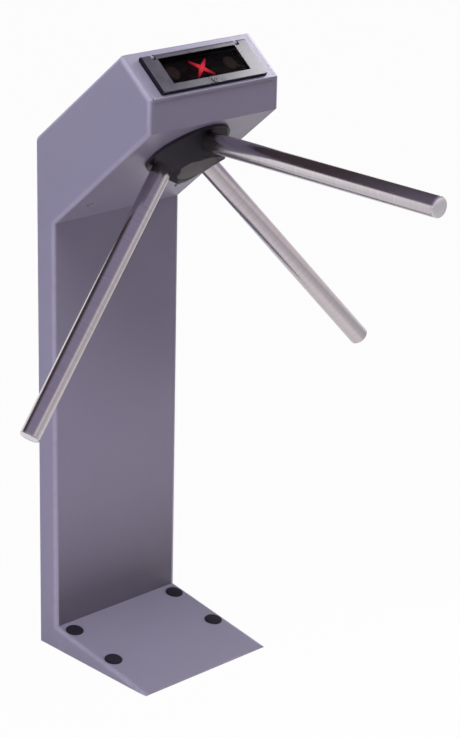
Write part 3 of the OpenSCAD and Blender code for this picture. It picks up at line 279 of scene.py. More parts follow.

# Painted highlight on rounded side edges, in a paler colour: nothing on a flat face, most where a face has turned
# halfway
edge_highlight, given, put = shader_group("painted_edge_highlight", {"Place": None, "Patchiness": 60.0}, ["Wear"])
normal = add_node(edge_highlight, "ShaderNodeNewGeometry").outputs["Normal"]
sideways = calculate(edge_highlight, "ABSOLUTE", add_node(edge_highlight, "ShaderNodeSeparateXYZ", {0: normal}).outputs["X"])
squared = calculate(edge_highlight, "POWER", sideways, 2.0)
forwards = calculate(edge_highlight, "SQRT", calculate(edge_highlight, "SUBTRACT", 1.0, squared, clamp=True))
turning = calculate(edge_highlight, "MULTIPLY", calculate(edge_highlight, "MULTIPLY", sideways, forwards), 2.0)
uneven = spread(edge_highlight, noise(edge_highlight, given["Place"], given["Patchiness"], 3.0), 0.25, 0.6, 0.75, 1.0)
edge_highlight.links.new(calculate(edge_highlight, "MULTIPLY", turning, uneven, clamp=True), put["Wear"])
print("groups:", settled.name, "and", edge_highlight.name)

# %% Polishing lines
# Fine parallel lines left by a polishing belt, along one direction of the given place
polish, given, put = shader_group("polish_lines", {"Place": None, "Lines": 2400.0}, ["Relief", "Tone"])
polish.links.new(noise(polish, given["Place"], given["Lines"], 3.0, 0.7), put["Relief"])
broad = noise(polish, given["Place"], calculate(polish, "MULTIPLY", given["Lines"], 0.08), 2.0)
polish.links.new(spread(polish, broad, 0.3, 0.7), put["Tone"])
print("all groups:", [group.name for group in bpy.data.node_groups])

# %% [markdown]
# ## Paint
#
# The housing wears a satin grey powder coat with a violet cast. Powder coat has a fine orange peel, a hint of
# metal flake and a soft sheen, so the base colour is split into two close greys by the flake, roughness drifts
# with handling, and the bump is only hundredths of a millimetre deep. The rounded side edges get a painted
# highlight in a paler colour, and the low part of the column a painted shade, darker towards the foot; both are
# blended in by where a face is and which way it looks. The display frame's satin black is the same recipe with a
# smoother skin.

# %% Material helpers
def plain_material(name, **sockets):
    material = bpy.data.materials.new(name)
    material.use_nodes = True
    shader = material.node_tree.nodes["Principled BSDF"]
    for label, value in sockets.items():
        shader.inputs[label.replace("_", " ")].default_value = value
    place = add_node(material.node_tree, "ShaderNodeTexCoord").outputs["Object"]
    return material, material.node_tree, shader, place


def use_group(tree, group, **inputs):
    return add_node(tree, "ShaderNodeGroup", inputs, node_tree=group).outputs


def relief(tree, shader, height, depth, strength=1.0):
    bump = add_node(tree, "ShaderNodeBump", {"Height": height, "Distance": depth, "Strength": strength})
    tree.links.new(bump.outputs[0], shader.inputs["Normal"])


# %% The paint
# The edge highlight and the shade colour are painted light; grime and dust are dirt
EDGE_HIGHLIGHT, GRIME = (0.52, 0.49, 0.60, 1), (0.16, 0.15, 0.15, 1)
PAINTED_SHADE, DUST = (0.045, 0.038, 0.050, 1), (0.62, 0.60, 0.60, 1)
# Heights between which the painted shade on the column fades out
SHADE_LOW, SHADE_HIGH = 0.08, 0.42


def powder_coat(name, light, dark, low_roughness, high_roughness, peel_depth=0.00002, edge=0.0, shade_strength=0.0,
                **sockets):
    material, tree, shader, place = plain_material(name, **sockets)
    skin = use_group(tree, coat_skin, Place=place)
    touch = use_group(tree, handling, Place=place)
    dirt = use_group(tree, settled, Place=place)
    colour = blend_colours(tree, skin["Flake"], dark, light)
    # Painted highlight: the rounded side edges are painted paler
    paler = use_group(tree, edge_highlight, Place=place)["Wear"]
    colour = blend_colours(tree, calculate(tree, "MULTIPLY", paler, edge), colour, EDGE_HIGHLIGHT)
    colour = blend_colours(tree, calculate(tree, "MULTIPLY", dirt["Grime"], 0.35), colour, GRIME)
    # Painted shade: the low part of the column is painted darker towards the foot
    if shade_strength:
        rise = add_node(tree, "ShaderNodeSeparateXYZ", {0: place}).outputs["Z"]
        low_down = calculate(tree, "POWER", spread(tree, rise, SHADE_LOW, SHADE_HIGH, 1.0, 0.0), 2.0)
        colour = blend_colours(tree, calculate(tree, "MULTIPLY", low_down, shade_strength), colour, PAINTED_SHADE)
    colour = blend_colours(tree, calculate(tree, "MULTIPLY", dirt["Dust"], 0.12), colour, DUST)
    tree.links.new(colour, shader.inputs["Base Color"])
    rough = spread(tree, touch["Smudge"], 0.0, 1.0, low_roughness, high_roughness)
    rough = calculate(tree, "ADD", rough, calculate(tree, "MULTIPLY", dirt["Dust"], 0.15))
    tree.links.new(rough, shader.inputs["Roughness"])
    relief(tree, shader, skin["Relief"], peel_depth)
    return material


COAT_LIGHT, COAT_DARK = (0.292, 0.274, 0.372, 1), (0.246, 0.230, 0.314, 1)
paint = powder_coat("grey_powder_coat", COAT_LIGHT, COAT_DARK, 0.42, 0.54, edge=0.62, Coat_Weight=0.4,
                    Coat_Roughness=0.22)
column_paint = powder_coat("column_powder_coat", COAT_LIGHT, COAT_DARK, 0.46, 0.58, shade_strength=0.75, Coat_Weight=0.2,
                           Coat_Roughness=0.3)
bezel = powder_coat("satin_bezel", (0.022, 0.018, 0.034, 1), (0.016, 0.013, 0.027, 1), 0.22, 0.32, 0.000003,
                    Coat_Weight=0.5, Coat_Roughness=0.15)
print("coats:", paint.name, column_paint.name, bezel.name)

# %% [markdown]
# ## Plastics and metals
#
# The hub, the anchor caps and the sensor parts are moulded black plastic with a spark-eroded grain. The arms
# are polished stainless steel, where belt lines run round the tube, so their relief reads a place that is
# squeezed along one direction. Plated and turned metals inside share one recipe with other colours.

# %% Plastics
PLASTIC_DUST = (0.40, 0.38, 0.37, 1)


def moulded_plastic(name, colour, paler, low_roughness=0.46, high_roughness=0.60, **sockets):
    material, tree, shader, place = plain_material(name, **sockets)
    touch = use_group(tree, handling, Place=place, Size=22.0)
    dirt = use_group(tree, settled, Place=place)
    tone = blend_colours(tree, calculate(tree, "MULTIPLY", touch["Smudge"], 0.5), colour, paler)
    tone = blend_colours(tree, calculate(tree, "MULTIPLY", dirt["Dust"], 0.05), tone, PLASTIC_DUST)
    tree.links.new(tone, shader.inputs["Base Color"])
    rough = spread(tree, touch["Smudge"], 0.0, 1.0, low_roughness, high_roughness)
    tree.links.new(rough, shader.inputs["Roughness"])
    relief(tree, shader, noise(tree, place, 2200.0, 2.0), 0.00003)
    return material


black_plastic = moulded_plastic("black_plastic", (0.007, 0.006, 0.010, 1), (0.013, 0.011, 0.017, 1),
                                Specular_IOR_Level=0.45)
cap_plastic = moulded_plastic("cap_plastic", (0.010, 0.009, 0.016, 1), (0.016, 0.014, 0.023, 1),
                              Specular_IOR_Level=0.25)
face_plastic = moulded_plastic("hub_face_plastic", (0.056, 0.044, 0.048, 1), (0.074, 0.059, 0.062, 1), 0.5, 0.62,
                               Specular_IOR_Level=0.4)
print("plastics:", black_plastic.name, cap_plastic.name, face_plastic.name)


# %% Metals
def worked_metal(name, colour, tint, low_roughness, high_roughness, squeeze=(1, 1, 1), attribute=None,
                 depth=0.000008):
    material, tree, shader, place = plain_material(name, Metallic=1.0)
    if attribute:
        place = add_node(tree, "ShaderNodeAttribute", attribute_name=attribute).outputs["Vector"]
    drawn = add_node(tree, "ShaderNodeMapping", {"Vector": place, "Scale": squeeze}).outputs[0]
    lines = use_group(tree, polish, Place=drawn)
    touch = use_group(tree, handling, Place=place, Size=14.0)
    tree.links.new(blend_colours(tree, lines["Tone"], colour, tint), shader.inputs["Base Color"])
    rough = spread(tree, touch["Smudge"], 0.0, 1.0, low_roughness, high_roughness)
    rough = calculate(tree, "ADD", rough, calculate(tree, "MULTIPLY", touch["Speck"], 0.08))
    tree.links.new(rough, shader.inputs["Roughness"])
    relief(tree, shader, lines["Relief"], depth, 0.6)
    return material


tube_steel = worked_metal("polished_tube", (0.64, 0.60, 0.62, 1), (0.57, 0.54, 0.56, 1), 0.17, 0.24,
                          (0.04, 0.04, 1.0), "along_tube", 0.000001)
cap_steel = worked_metal("polished_cap", (0.80, 0.79, 0.82, 1), (0.74, 0.73, 0.76, 1), 0.18, 0.28)
zinc = worked_metal("zinc_plate", (0.60, 0.60, 0.57, 1), (0.50, 0.51, 0.52, 1), 0.30, 0.45, (0.6, 0.6, 0.6))
machined = worked_metal("machined_steel", (0.56, 0.56, 0.57, 1), (0.47, 0.47, 0.49, 1), 0.22, 0.36,
                        (1.0, 0.2, 1.0))
spring_steel = worked_metal("spring_steel", (0.30, 0.29, 0.29, 1), (0.22, 0.21, 0.21, 1), 0.28, 0.40)
nickel = worked_metal("worn_nickel", (0.17, 0.16, 0.16, 1), (0.12, 0.115, 0.115, 1), 0.46, 0.58)
bronze = worked_metal("turned_bronze", (0.55, 0.37, 0.17, 1), (0.46, 0.30, 0.13, 1), 0.24, 0.36)
print("finishes so far:", [material.name for material in bpy.data.materials])

# %% [markdown]
# ## Display materials
#
# Behind the tinted window lies a dark lamp board. A smoked acrylic window is a transmitting material with a
# dark body colour and a slightly soft inner face, so the lamps behind it glow without sharp edges. The lit
# lamps emit light, brighter at the middle of the mark. Circuit boards are a fine brick pattern, which draws
# their tracks.

# %% Window and boards
window_acrylic, tree, shader, place = plain_material("smoked_window", Transmission_Weight=1.0, IOR=1.05)
touch = use_group(tree, handling, Place=place, Size=30.0)
tree.links.new(blend_colours(tree, touch["Smudge"], (0.20, 0.18, 0.19, 1), (0.24, 0.215, 0.225, 1)),
               shader.inputs["Base Color"])
tree.links.new(spread(tree, touch["Smudge"], 0.0, 1.0, 0.10, 0.16), shader.inputs["Roughness"])

lamp_board, tree, shader, place = plain_material("black_lamp_board", Roughness=0.5)
weave = add_node(tree, "ShaderNodeTexBrick", {
    "Vector": place, "Scale": 420.0, "Color1": (0.012, 0.013, 0.012, 1), "Color2": (0.016, 0.017, 0.016, 1),
    "Mortar": (0.022, 0.022, 0.02, 1)})
tree.links.new(weave.outputs["Color"], shader.inputs["Base Color"])
relief(tree, shader, weave.outputs["Fac"], 0.00004)

circuit_board, tree, shader, place = plain_material("circuit_board", Roughness=0.35, Coat_Weight=0.4)
tracks = add_node(tree, "ShaderNodeTexBrick", {
    "Vector": place, "Scale": 90.0, "Mortar Size": 0.03, "Color1": (0.015, 0.09, 0.045, 1),
    "Color2": (0.02, 0.11, 0.05, 1), "Mortar": (0.05, 0.20, 0.10, 1)})
tree.links.new(tracks.outputs["Color"], shader.inputs["Base Color"])
relief(tree, shader, tracks.outputs["Fac"], 0.00005)
print("display and boards:", window_acrylic.name, lamp_board.name, circuit_board.name)

# %% Lamps
GLOW_REACH = 0.02


def lamp_lens(name, colour, glow, strength, middle=None):
    material, tree, shader, place = plain_material(name, Roughness=0.3, Emission_Strength=strength)
    cell = noise(tree, place, 420.0, 1.0)
    dull = tuple(0.8 * v for v in colour[:3]) + (1,)
    tree.links.new(blend_colours(tree, cell, colour, dull), shader.inputs["Base Color"])
    faded = tuple(0.3 * v for v in glow[:3]) + (1,)
    share = cell
    if middle:
        off = add_node(tree, "ShaderNodeVectorMath", {0: place, 1: middle}, operation="DISTANCE").outputs["Value"]
        share = spread(tree, off, 0.3 * GLOW_REACH, GLOW_REACH)
    tree.links.new(blend_colours(tree, share, glow, faded), shader.inputs["Emission Color"])
    return material


display_middle = [(a + b) / 2 for a, b in zip(*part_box("led_board"))]
red_glow = lamp_lens("red_glow", (0.5, 0.02, 0.03, 1), (1.0, 0.045, 0.075, 1), 1.9, display_middle)
red_lamp = lamp_lens("red_lamp", (0.6, 0.03, 0.04, 1), (1.0, 0.07, 0.11, 1), 2.6, display_middle)
dim_lens = lamp_lens("unlit_lens", (0.16, 0.11, 0.09, 1), (1.0, 0.7, 0.6, 1), 0.03)
dim_lamp = lamp_lens("unlit_lamp", (0.34, 0.26, 0.22, 1), (1.0, 0.7, 0.6, 1), 0.05)
print("middle of the display in mm:", [round(1000 * v, 1) for v in display_middle])

# %% [markdown]
# ## From CAD solid to finished piece
#
# A CAD node arrives as loose triangles, which can't be shaded smoothly. A copy of its mesh is welded, its flat
# faces are joined, and edges sharper than a set angle stay crisp. Pressed sheet and moulded plastic never have
# a perfectly sharp edge, so a Bevel modifier rounds them by a few tenths of a millimetre: this is what catches
# the light along every edge.

# %% Dress a node
CREASE = 33
WELD_DISTANCE = 0.000002
FLAT_ANGLE = 0.5


def welded_copy(node):
    mesh = cad_nodes[node].data.copy()
    mesh.name = node + "_dressed"
    mesh.materials.clear()
    solid = bmesh.new()
    solid.from_mesh(mesh)
    bmesh.ops.remove_doubles(solid, verts=solid.verts, dist=WELD_DISTANCE)
    bmesh.ops.dissolve_limit(solid, angle_limit=math.radians(FLAT_ANGLE), verts=solid.verts, edges=solid.edges)
    solid.to_mesh(mesh)
    solid.free()
    return mesh


def settle(piece, like, *replaced):
    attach(piece, body_of[like])
    if replaced:
        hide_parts(*replaced)


def smooth(mesh, crease=CREASE):
    mesh.shade_smooth()
    mesh.set_sharp_from_angle(angle=math.radians(crease))


def dress(node, material, edge=0.0004, crease=CREASE, levels=0):
    mesh = welded_copy(node)
    mesh.materials.append(material)
    smooth(mesh, crease)
    piece = bpy.data.objects.new(node + "_dressed", mesh)
    scene.collection.objects.link(piece)
    if edge:
        bevel = piece.modifiers.new("soft_edges", "BEVEL")
        bevel.width = edge
        bevel.segments = 2
        bevel.limit_method = "ANGLE"
        bevel.angle_limit = math.radians(crease + 5)
        bevel.harden_normals = True
    if levels:
        rounding = piece.modifiers.new("rounding", "SUBSURF")
        rounding.levels = rounding.render_levels = levels
    settle(piece, node, node)
    return piece


# %% [markdown]
# ## The painted housing
#
# The housing is bent steel sheet: two cheeks with folded, rounded edges, and panels that fill the space between
# them. All of them wear the grey coat with its painted edge highlight. The front of the column has its own, which
# has a painted shade low down, darker towards the foot, and no painted edge highlight.

# %% Dress the painted panels
panels = ["left_cheek", "right_cheek", "underside_panel", "nose_panel", "top_deck", "rear_cover", "foot_cover"]
for panel in panels:
    dress(panel, paint)
dress("column_front", column_paint)
print("painted panels:", len(panels) + 1)

# %% [markdown]
# ## The display's own directions
#
# The display lies on a slope, so its pieces are easiest to describe across, up and out of that slope. The CAD
# model's joints give the directions: the key lock turns about the slope's normal, and the lid's hinge lies a
# known step from the rear edge of the frame.

# %% Find the display's plane
HINGE_INSET = Vector((0.0, -0.00435, 0.00465))
deck_normal = Vector(joints["key_turn"]["axis"])
deck_slope = math.atan2(-deck_normal.y, deck_normal.z)
to_deck = Matrix.Rotation(-deck_slope, 3, "X")
deck_origin = Vector(joints["lid_hinge"]["pos_m"]) - to_deck.transposed() @ HINGE_INSET


def on_deck(point):
    return to_deck @ (point - deck_origin)


def off_deck(across, up, out):
    return deck_origin + to_deck.transposed() @ Vector((across, up, out))


print("display slope in degrees:", round(math.degrees(deck_slope), 2))
print("display origin in mm:", [round(1000 * v, 2) for v in deck_origin])

# %% [markdown]
# ## Black plastic, caps and the display frame
#
# The hub is one heavy moulding that covers the arm roots, with a separate round cover in its face. Four push-in
# caps hide the anchors on the foot. The raised display frame has a dark satin finish on its face, and its outer
# walls and the rim round the window are black, so each face of the copy looks up where it is.

# %% Hub, caps and lock
dress("hub_body", black_plastic, 0.0009)
dress("hub_cap", face_plastic, 0.0005)
dress("anchor_caps", cap_plastic, 0.0003)
dress("cable_grommet", black_plastic, 0.0003)
dress("lock_barrel", nickel, 0.0003)
dress("lock_plug", nickel, 0.0002)
dress("arm_end_caps", cap_steel, 0.0008)
print("hub, caps and lock dressed")

# %% Display frame and window
FACE_LEAN = 0.7
RIM_REACH = 0.082
NOTCH_DEPTH = 0.0110
lid = dress("display_lid", bezel)
lid.data.materials.append(cap_plastic)
lid_side = max(abs(on_deck(v.co).x) for v in lid.data.vertices)
for face in lid.data.polygons:
    spot = on_deck(face.center)
    in_notch = spot.y > -NOTCH_DEPTH and RIM_REACH < abs(spot.x) < lid_side - 0.001
    face.material_index = 0 if in_notch or face.normal.dot(deck_normal) > FACE_LEAN else 1
dress("display_window", window_acrylic, 0.0002)
print("black faces of the frame:", sum(face.material_index for face in lid.data.polygons))

# %% [markdown]
# ## The rolled edge in front of the display
#
# The sheet of the display face is rolled over its front edge, and the roll shines as a thin pale line under the
# frame. Its section is a few points in the slope's own directions, swept straight across, and a Bevel modifier
# rounds it.

# %% The roll's section
LIP_BACK, LIP_HEIGHT, LIP_DROP = -0.0715, 0.0026, 0.0050
HAIR = 0.00002
deck_low, deck_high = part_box("top_deck")
housing_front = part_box("left_cheek")[0][1] + 0.0001
down_the_slope = Vector((0, to_deck[1][1], to_deck[1][2]))
back_low, back_high = off_deck(0, LIP_BACK, HAIR), off_deck(0, LIP_BACK, LIP_HEIGHT)
crown = back_high + (housing_front + 0.0002 - back_high.y) / to_deck[1][1] * down_the_slope
deck_edge = off_deck(0, (deck_low[1] - deck_origin.y) / to_deck[1][1], HAIR)
section_points = [back_low, back_high, crown, Vector((0, housing_front, deck_edge.z)),
                  Vector((0, deck_edge.y - HAIR, deck_edge.z - LIP_DROP)), deck_edge]
print("section in mm:", [[round(1000 * v, 2) for v in point[1:]] for point in section_points])

# %% Roll the front edge
half_width = deck_high[0] - 0.0002
lip = bmesh.new()
ends = [[lip.verts.new((side, point.y, point.z)) for point in section_points]
        for side in (-half_width, half_width)]
lip.faces.new(ends[0])
lip.faces.new(reversed(ends[1]))
for i in range(len(section_points)):
    j = (i + 1) % len(section_points)
    lip.faces.new((ends[0][i], ends[1][i], ends[1][j], ends[0][j]))
bmesh.ops.recalc_face_normals(lip, faces=lip.faces)
lip_mesh = bpy.data.meshes.new("rolled_front_edge")
lip.to_mesh(lip_mesh)
lip.free()
lip_mesh.materials.append(paint)
smooth(lip_mesh)
lip_piece = bpy.data.objects.new("rolled_front_edge", lip_mesh)
scene.collection.objects.link(lip_piece)
rolled = lip_piece.modifiers.new("rolled", "BEVEL")
rolled.width, rolled.segments, rolled.limit_method = 0.0011, 4, "ANGLE"
rolled.harden_normals = True
settle(lip_piece, "top_deck")
print("rolled edge is", round(2000 * half_width, 1), "mm wide")

# %% [markdown]
# ## Arms from a rule
#
# The three arms are one shape repeated: a tube with rounded ends, tilted from the rotor's axis and turned by a
# third of a turn each time. A Geometry Nodes tree follows that rule. It sweeps the wall's section round a
# circle, notes each point's place along the straight tube for the polishing lines, and sets the copies round
# the inclined axis.

# %% Geometry Nodes helpers
def geometry_tree(name, inputs):
    tree = bpy.data.node_groups.new(name, "GeometryNodeTree")
    tree.interface.new_socket("Geometry", in_out="OUTPUT", socket_type="NodeSocketGeometry")
    for label, value in inputs.items():
        kind = "Int" if isinstance(value, int) else "Float"
        kind = "Vector" if isinstance(value, tuple) else "Material" if value is None else kind
        socket = tree.interface.new_socket(label, in_out="INPUT", socket_type="NodeSocket" + kind)
        if value is not None:
            socket.default_value = value
    return tree, tree.nodes.new("NodeGroupInput").outputs, tree.nodes.new("NodeGroupOutput").inputs


def turned(tree, x=0.0, y=0.0, z=0.0):
    angles = add_node(tree, "ShaderNodeCombineXYZ", {0: x, 1: y, 2: z}).outputs[0]
    return add_node(tree, "FunctionNodeEulerToRotation", {0: angles}).outputs[0]


def end_tree(tree, geometry, given, put):
    real = add_node(tree, "GeometryNodeRealizeInstances", {0: geometry}).outputs[0]
    finish = add_node(tree, "GeometryNodeSetMaterial", {"Geometry": real, "Material": given["Finish"]})
    tree.links.new(finish.outputs[0], put["Geometry"])


def grown(name, tree, material, **values):
    holder = bpy.data.objects.new(name + "_seed", bpy.data.meshes.new(name + "_seed"))
    scene.collection.objects.link(holder)
    modifier = holder.modifiers.new("grow", "NODES")
    modifier.node_group = tree
    sockets = {item.name: item.identifier for item in tree.interface.items_tree if item.in_out == "INPUT"}
    modifier[sockets["Finish"]] = material
    for label, value in values.items():
        modifier[sockets[label.replace("_", " ")]] = value
    bpy.context.view_layer.update()
    mesh = bpy.data.meshes.new_from_object(holder.evaluated_get(bpy.context.evaluated_depsgraph_get()))
    holder.modifiers.clear()
    bpy.data.objects.remove(holder)
    mesh.name = name
    smooth(mesh)
    piece = bpy.data.objects.new(name, mesh)
    scene.collection.objects.link(piece)
    box_mm = [[round(1000 * end(v.co[i] for v in mesh.vertices), 1) for i in range(3)] for end in (min, max)]
    print(name, len(mesh.polygons), "faces, box in mm:", box_mm)
    return piece


# %% Sweep one tube
ARM_MEETING_DEPTH = 0.025
rotor_axis = Vector(joints["rotor_turn"]["axis"])
meeting_point = Vector(joints["rotor_turn"]["pos_m"]) + ARM_MEETING_DEPTH * rotor_axis
arms_tree, given, put = geometry_tree("tube_arms", {
    "Tube diameter": 0.032, "Wall": 0.002, "Start": 0.044, "Length": 0.4915, "Edge radius": 0.0006, "Arms": 3,
    "Tilt": math.radians(50), "Axis turn": math.atan2(rotor_axis.y, -rotor_axis.z),
    "Meeting point": tuple(meeting_point), "Finish": None})
middle_radius = calculate(arms_tree, "MULTIPLY_ADD", given["Tube diameter"], 0.5)
arms_tree.links.new(calculate(arms_tree, "MULTIPLY", given["Wall"], -0.5), middle_radius.node.inputs[2])
ring = add_node(arms_tree, "GeometryNodeCurvePrimitiveCircle", {"Resolution": 96, "Radius": middle_radius})
section = add_node(arms_tree, "GeometryNodeCurvePrimitiveQuadrilateral", {0: given["Wall"], 1: given["Length"]})
rounded = add_node(arms_tree, "GeometryNodeFilletCurve", {"Curve": section.outputs[0],
                                                          "Radius": given["Edge radius"]}, mode="POLY")
rounded.inputs["Count"].default_value = 3
tube = add_node(arms_tree, "GeometryNodeCurveToMesh", {0: ring.outputs[0], 1: rounded.outputs[0]})
centre = calculate(arms_tree, "MULTIPLY_ADD", given["Length"], 0.5)
arms_tree.links.new(given["Start"], centre.node.inputs[2])
shift = add_node(arms_tree, "ShaderNodeCombineXYZ", {2: centre}).outputs[0]
upright = add_node(arms_tree, "GeometryNodeTransform", {"Geometry": tube.outputs[0], "Translation": shift})
position = add_node(arms_tree, "GeometryNodeInputPosition").outputs[0]
marked = add_node(arms_tree, "GeometryNodeStoreNamedAttribute", {
    "Geometry": upright.outputs[0], "Name": "along_tube", "Value": position},
    data_type="FLOAT_VECTOR", domain="POINT")
print("arms meet, in mm:", [round(1000 * v, 1) for v in meeting_point])

# %% Set three tubes round the axis
tilted = add_node(arms_tree, "GeometryNodeTransform", {
    "Geometry": marked.outputs[0],
    "Rotation": turned(arms_tree, x=calculate(arms_tree, "MULTIPLY", given["Tilt"], -1.0))})
places = add_node(arms_tree, "GeometryNodePoints", {"Count": given["Arms"]})
step = calculate(arms_tree, "DIVIDE", math.tau, given["Arms"])
angle = calculate(arms_tree, "MULTIPLY", add_node(arms_tree, "GeometryNodeInputIndex").outputs[0], step)
copies = add_node(arms_tree, "GeometryNodeInstanceOnPoints", {
    "Points": places.outputs[0], "Instance": tilted.outputs[0], "Rotation": turned(arms_tree, z=angle)})
mounted = add_node(arms_tree, "GeometryNodeTransform", {
    "Geometry": copies.outputs[0], "Translation": given["Meeting point"],
    "Rotation": turned(arms_tree, x=given["Axis turn"])})
end_tree(arms_tree, mounted.outputs[0], given, put)

arms = grown("tube_arms", arms_tree, tube_steel)
settle(arms, "top_arm", "left_arm", "right_arm", "top_arm")

# %% [markdown]
# ## The lamp board
#
# Under the window lies a board with a crossed light guide and two round ones. Its CAD solid is one piece, so its
# copy gets three materials: each face looks up how high it stands over the board and how far it is from the
# middle.

# %% Paint the lamp board
BOARD_TOP = -0.0015
CROSS_REACH = 0.030
board = dress("led_board", lamp_board, 0)
board.data.materials.append(red_glow)
board.data.materials.append(dim_lens)
for face in board.data.polygons:
    spot = on_deck(face.center)
    if spot.z > BOARD_TOP + 0.0001:
        face.material_index = 1 if abs(spot.x) < CROSS_REACH else 2
print("lamp board faces per finish:", [sum(f.material_index == i for f in board.data.polygons) for i in range(3)])

# %% [markdown]
# ## Lamps on a rule
#
# Each light guide is lit by rows of small lamps. One tree serves both kinds: it lays a grid, keeps the points
# inside a bar that narrows to its ends or inside a circle, and sets a small domed lamp on each. The second bar of
# the cross leaves a gap in its middle, where the first one passes.

# %% Lay out a field of lamps
lamps_tree, given, put = geometry_tree("lamp_field", {
    "Columns": 20, "Rows": 3, "Spacing": 0.0022, "Reach": 0.0225, "Waist": 0.0031, "Tip": 0.0006, "Round": 0.0,
    "Gap": 0.0, "Turn": 0.0, "Place": (0.0, 0.0, 0.0), "Lamp radius": 0.0008, "Deck slope": deck_slope,
    "Deck origin": tuple(deck_origin), "Finish": None})


def field_width(count):
    steps = calculate(lamps_tree, "SUBTRACT", given[count], 1.0)
    return calculate(lamps_tree, "MULTIPLY", steps, given["Spacing"])


grid = add_node(lamps_tree, "GeometryNodeMeshGrid", {
    "Size X": field_width("Columns"), "Size Y": field_width("Rows"), "Vertices X": given["Columns"],
    "Vertices Y": given["Rows"]})
position = add_node(lamps_tree, "GeometryNodeInputPosition").outputs[0]
spot = add_node(lamps_tree, "ShaderNodeSeparateXYZ", {0: position})
along = calculate(lamps_tree, "ABSOLUTE", spot.outputs[0])
across = calculate(lamps_tree, "ABSOLUTE", spot.outputs[1])
taper = calculate(lamps_tree, "DIVIDE", along, given["Reach"])
bar_half = add_node(lamps_tree, "ShaderNodeMix", {0: taper, 2: given["Waist"], 3: given["Tip"]}).outputs[0]
squares = calculate(lamps_tree, "SUBTRACT", calculate(lamps_tree, "POWER", given["Reach"], 2.0),
                    calculate(lamps_tree, "POWER", along, 2.0))
disc_half = calculate(lamps_tree, "SQRT", squares)
half = add_node(lamps_tree, "ShaderNodeMix", {0: given["Round"], 2: bar_half, 3: disc_half}).outputs[0]
outside = calculate(lamps_tree, "GREATER_THAN", across, half)
crossing = calculate(lamps_tree, "LESS_THAN", along, given["Gap"])
unwanted = calculate(lamps_tree, "ADD", outside, crossing)
kept = add_node(lamps_tree, "GeometryNodeDeleteGeometry", {"Geometry": grid.outputs[0], "Selection": unwanted})
print("lamp field inputs:", [item.name for item in lamps_tree.interface.items_tree if item.in_out == "INPUT"])

# %% Set a lamp on each point
dome = add_node(lamps_tree, "GeometryNodeMeshUVSphere", {
    "Segments": 10, "Rings": 6, "Radius": given["Lamp radius"]})
lamps = add_node(lamps_tree, "GeometryNodeInstanceOnPoints", {
    "Points": kept.outputs[0], "Instance": dome.outputs[0]})
laid = add_node(lamps_tree, "GeometryNodeTransform", {
    "Geometry": lamps.outputs[0], "Translation": given["Place"], "Rotation": turned(lamps_tree, z=given["Turn"])})
sloped = add_node(lamps_tree, "GeometryNodeTransform", {
    "Geometry": laid.outputs[0], "Translation": given["Deck origin"],
    "Rotation": turned(lamps_tree, x=given["Deck slope"])})
end_tree(lamps_tree, sloped.outputs[0], given, put)

# %% Grow the lamps
BOARD_MIDDLE = -0.0342
DISC_SIDE = 0.059
BAR_TURN = math.radians(42)
for name, turn, gap in [("rising_lamps", BAR_TURN, 0.0), ("falling_lamps", -BAR_TURN, 0.005)]:
    bar = grown(name, lamps_tree, red_lamp, Place=(0.0, BOARD_MIDDLE, 0.0), Turn=turn, Gap=gap)
    settle(bar, "led_board")
for name, side in [("left_lamps", -DISC_SIDE), ("right_lamps", DISC_SIDE)]:
    disc = grown(name, lamps_tree, dim_lamp, Place=(side, BOARD_MIDDLE, 0.0), Round=1.0, Reach=0.0108, Columns=9,
                 Rows=9, Spacing=0.0025, Lamp_radius=0.0009)
    settle(disc, "led_board")

# %% [markdown]
# ## Cover screws
#
# Six pan-head screws hold the rear cover. The CAD has plain heads, so each is grown again with a cross recess: a
# flattened ball, cut flat where it seats and cut by two slots, on a plain shank. The tree sets the copies on a
# grid whose corners come from the CAD node's box.

# %% Shape one screw
HEAD_RADIUS, HEAD_HEIGHT = 0.004, 0.0022
screws_tree, given, put = geometry_tree("cover_screws", {
    "Head radius": HEAD_RADIUS, "Head height": HEAD_HEIGHT, "Slot length": 0.0045, "Slot width": 0.0009,
    "Shank radius": 0.00195, "Shank length": 0.006, "Columns": 2, "Rows": 3, "Width": 0.134, "Height": 0.56,
    "Middle": (0.0, 0.0, 0.0), "Finish": None})


def box(width, depth, height, middle_z):
    size = add_node(screws_tree, "ShaderNodeCombineXYZ", {0: width, 1: depth, 2: height}).outputs[0]
    cube = add_node(screws_tree, "GeometryNodeMeshCube", {"Size": size}).outputs[0]
    lift = add_node(screws_tree, "ShaderNodeCombineXYZ", {2: middle_z}).outputs[0]
    return add_node(screws_tree, "GeometryNodeTransform", {"Geometry": cube, "Translation": lift}).outputs[0]


ball = add_node(screws_tree, "GeometryNodeMeshUVSphere", {
    "Segments": 36, "Rings": 18, "Radius": given["Head radius"]})
flatness = calculate(screws_tree, "DIVIDE", given["Head height"], given["Head radius"])
pressed = add_node(screws_tree, "GeometryNodeTransform", {
    "Geometry": ball.outputs[0],
    "Scale": add_node(screws_tree, "ShaderNodeCombineXYZ", {0: 1.0, 1: 1.0, 2: flatness}).outputs[0]})
wide = calculate(screws_tree, "MULTIPLY", given["Head radius"], 3.0)
below = box(wide, wide, wide, calculate(screws_tree, "MULTIPLY", wide, -0.5))
slot_length, slot_width, top = given["Slot length"], given["Slot width"], given["Head height"]
cutters = add_node(screws_tree, "GeometryNodeJoinGeometry")
for cutter in [below, box(slot_length, slot_width, top, top), box(slot_width, slot_length, top, top)]:
    screws_tree.links.new(cutter, cutters.inputs[0])
head = add_node(screws_tree, "GeometryNodeMeshBoolean", {
    "Mesh 1": pressed.outputs[0], "Mesh 2": cutters.outputs[0]}, operation="DIFFERENCE", solver="EXACT")
head.inputs["Self Intersection"].default_value = True
shank = add_node(screws_tree, "GeometryNodeMeshCylinder", {
    "Vertices": 24, "Radius": given["Shank radius"], "Depth": given["Shank length"]})
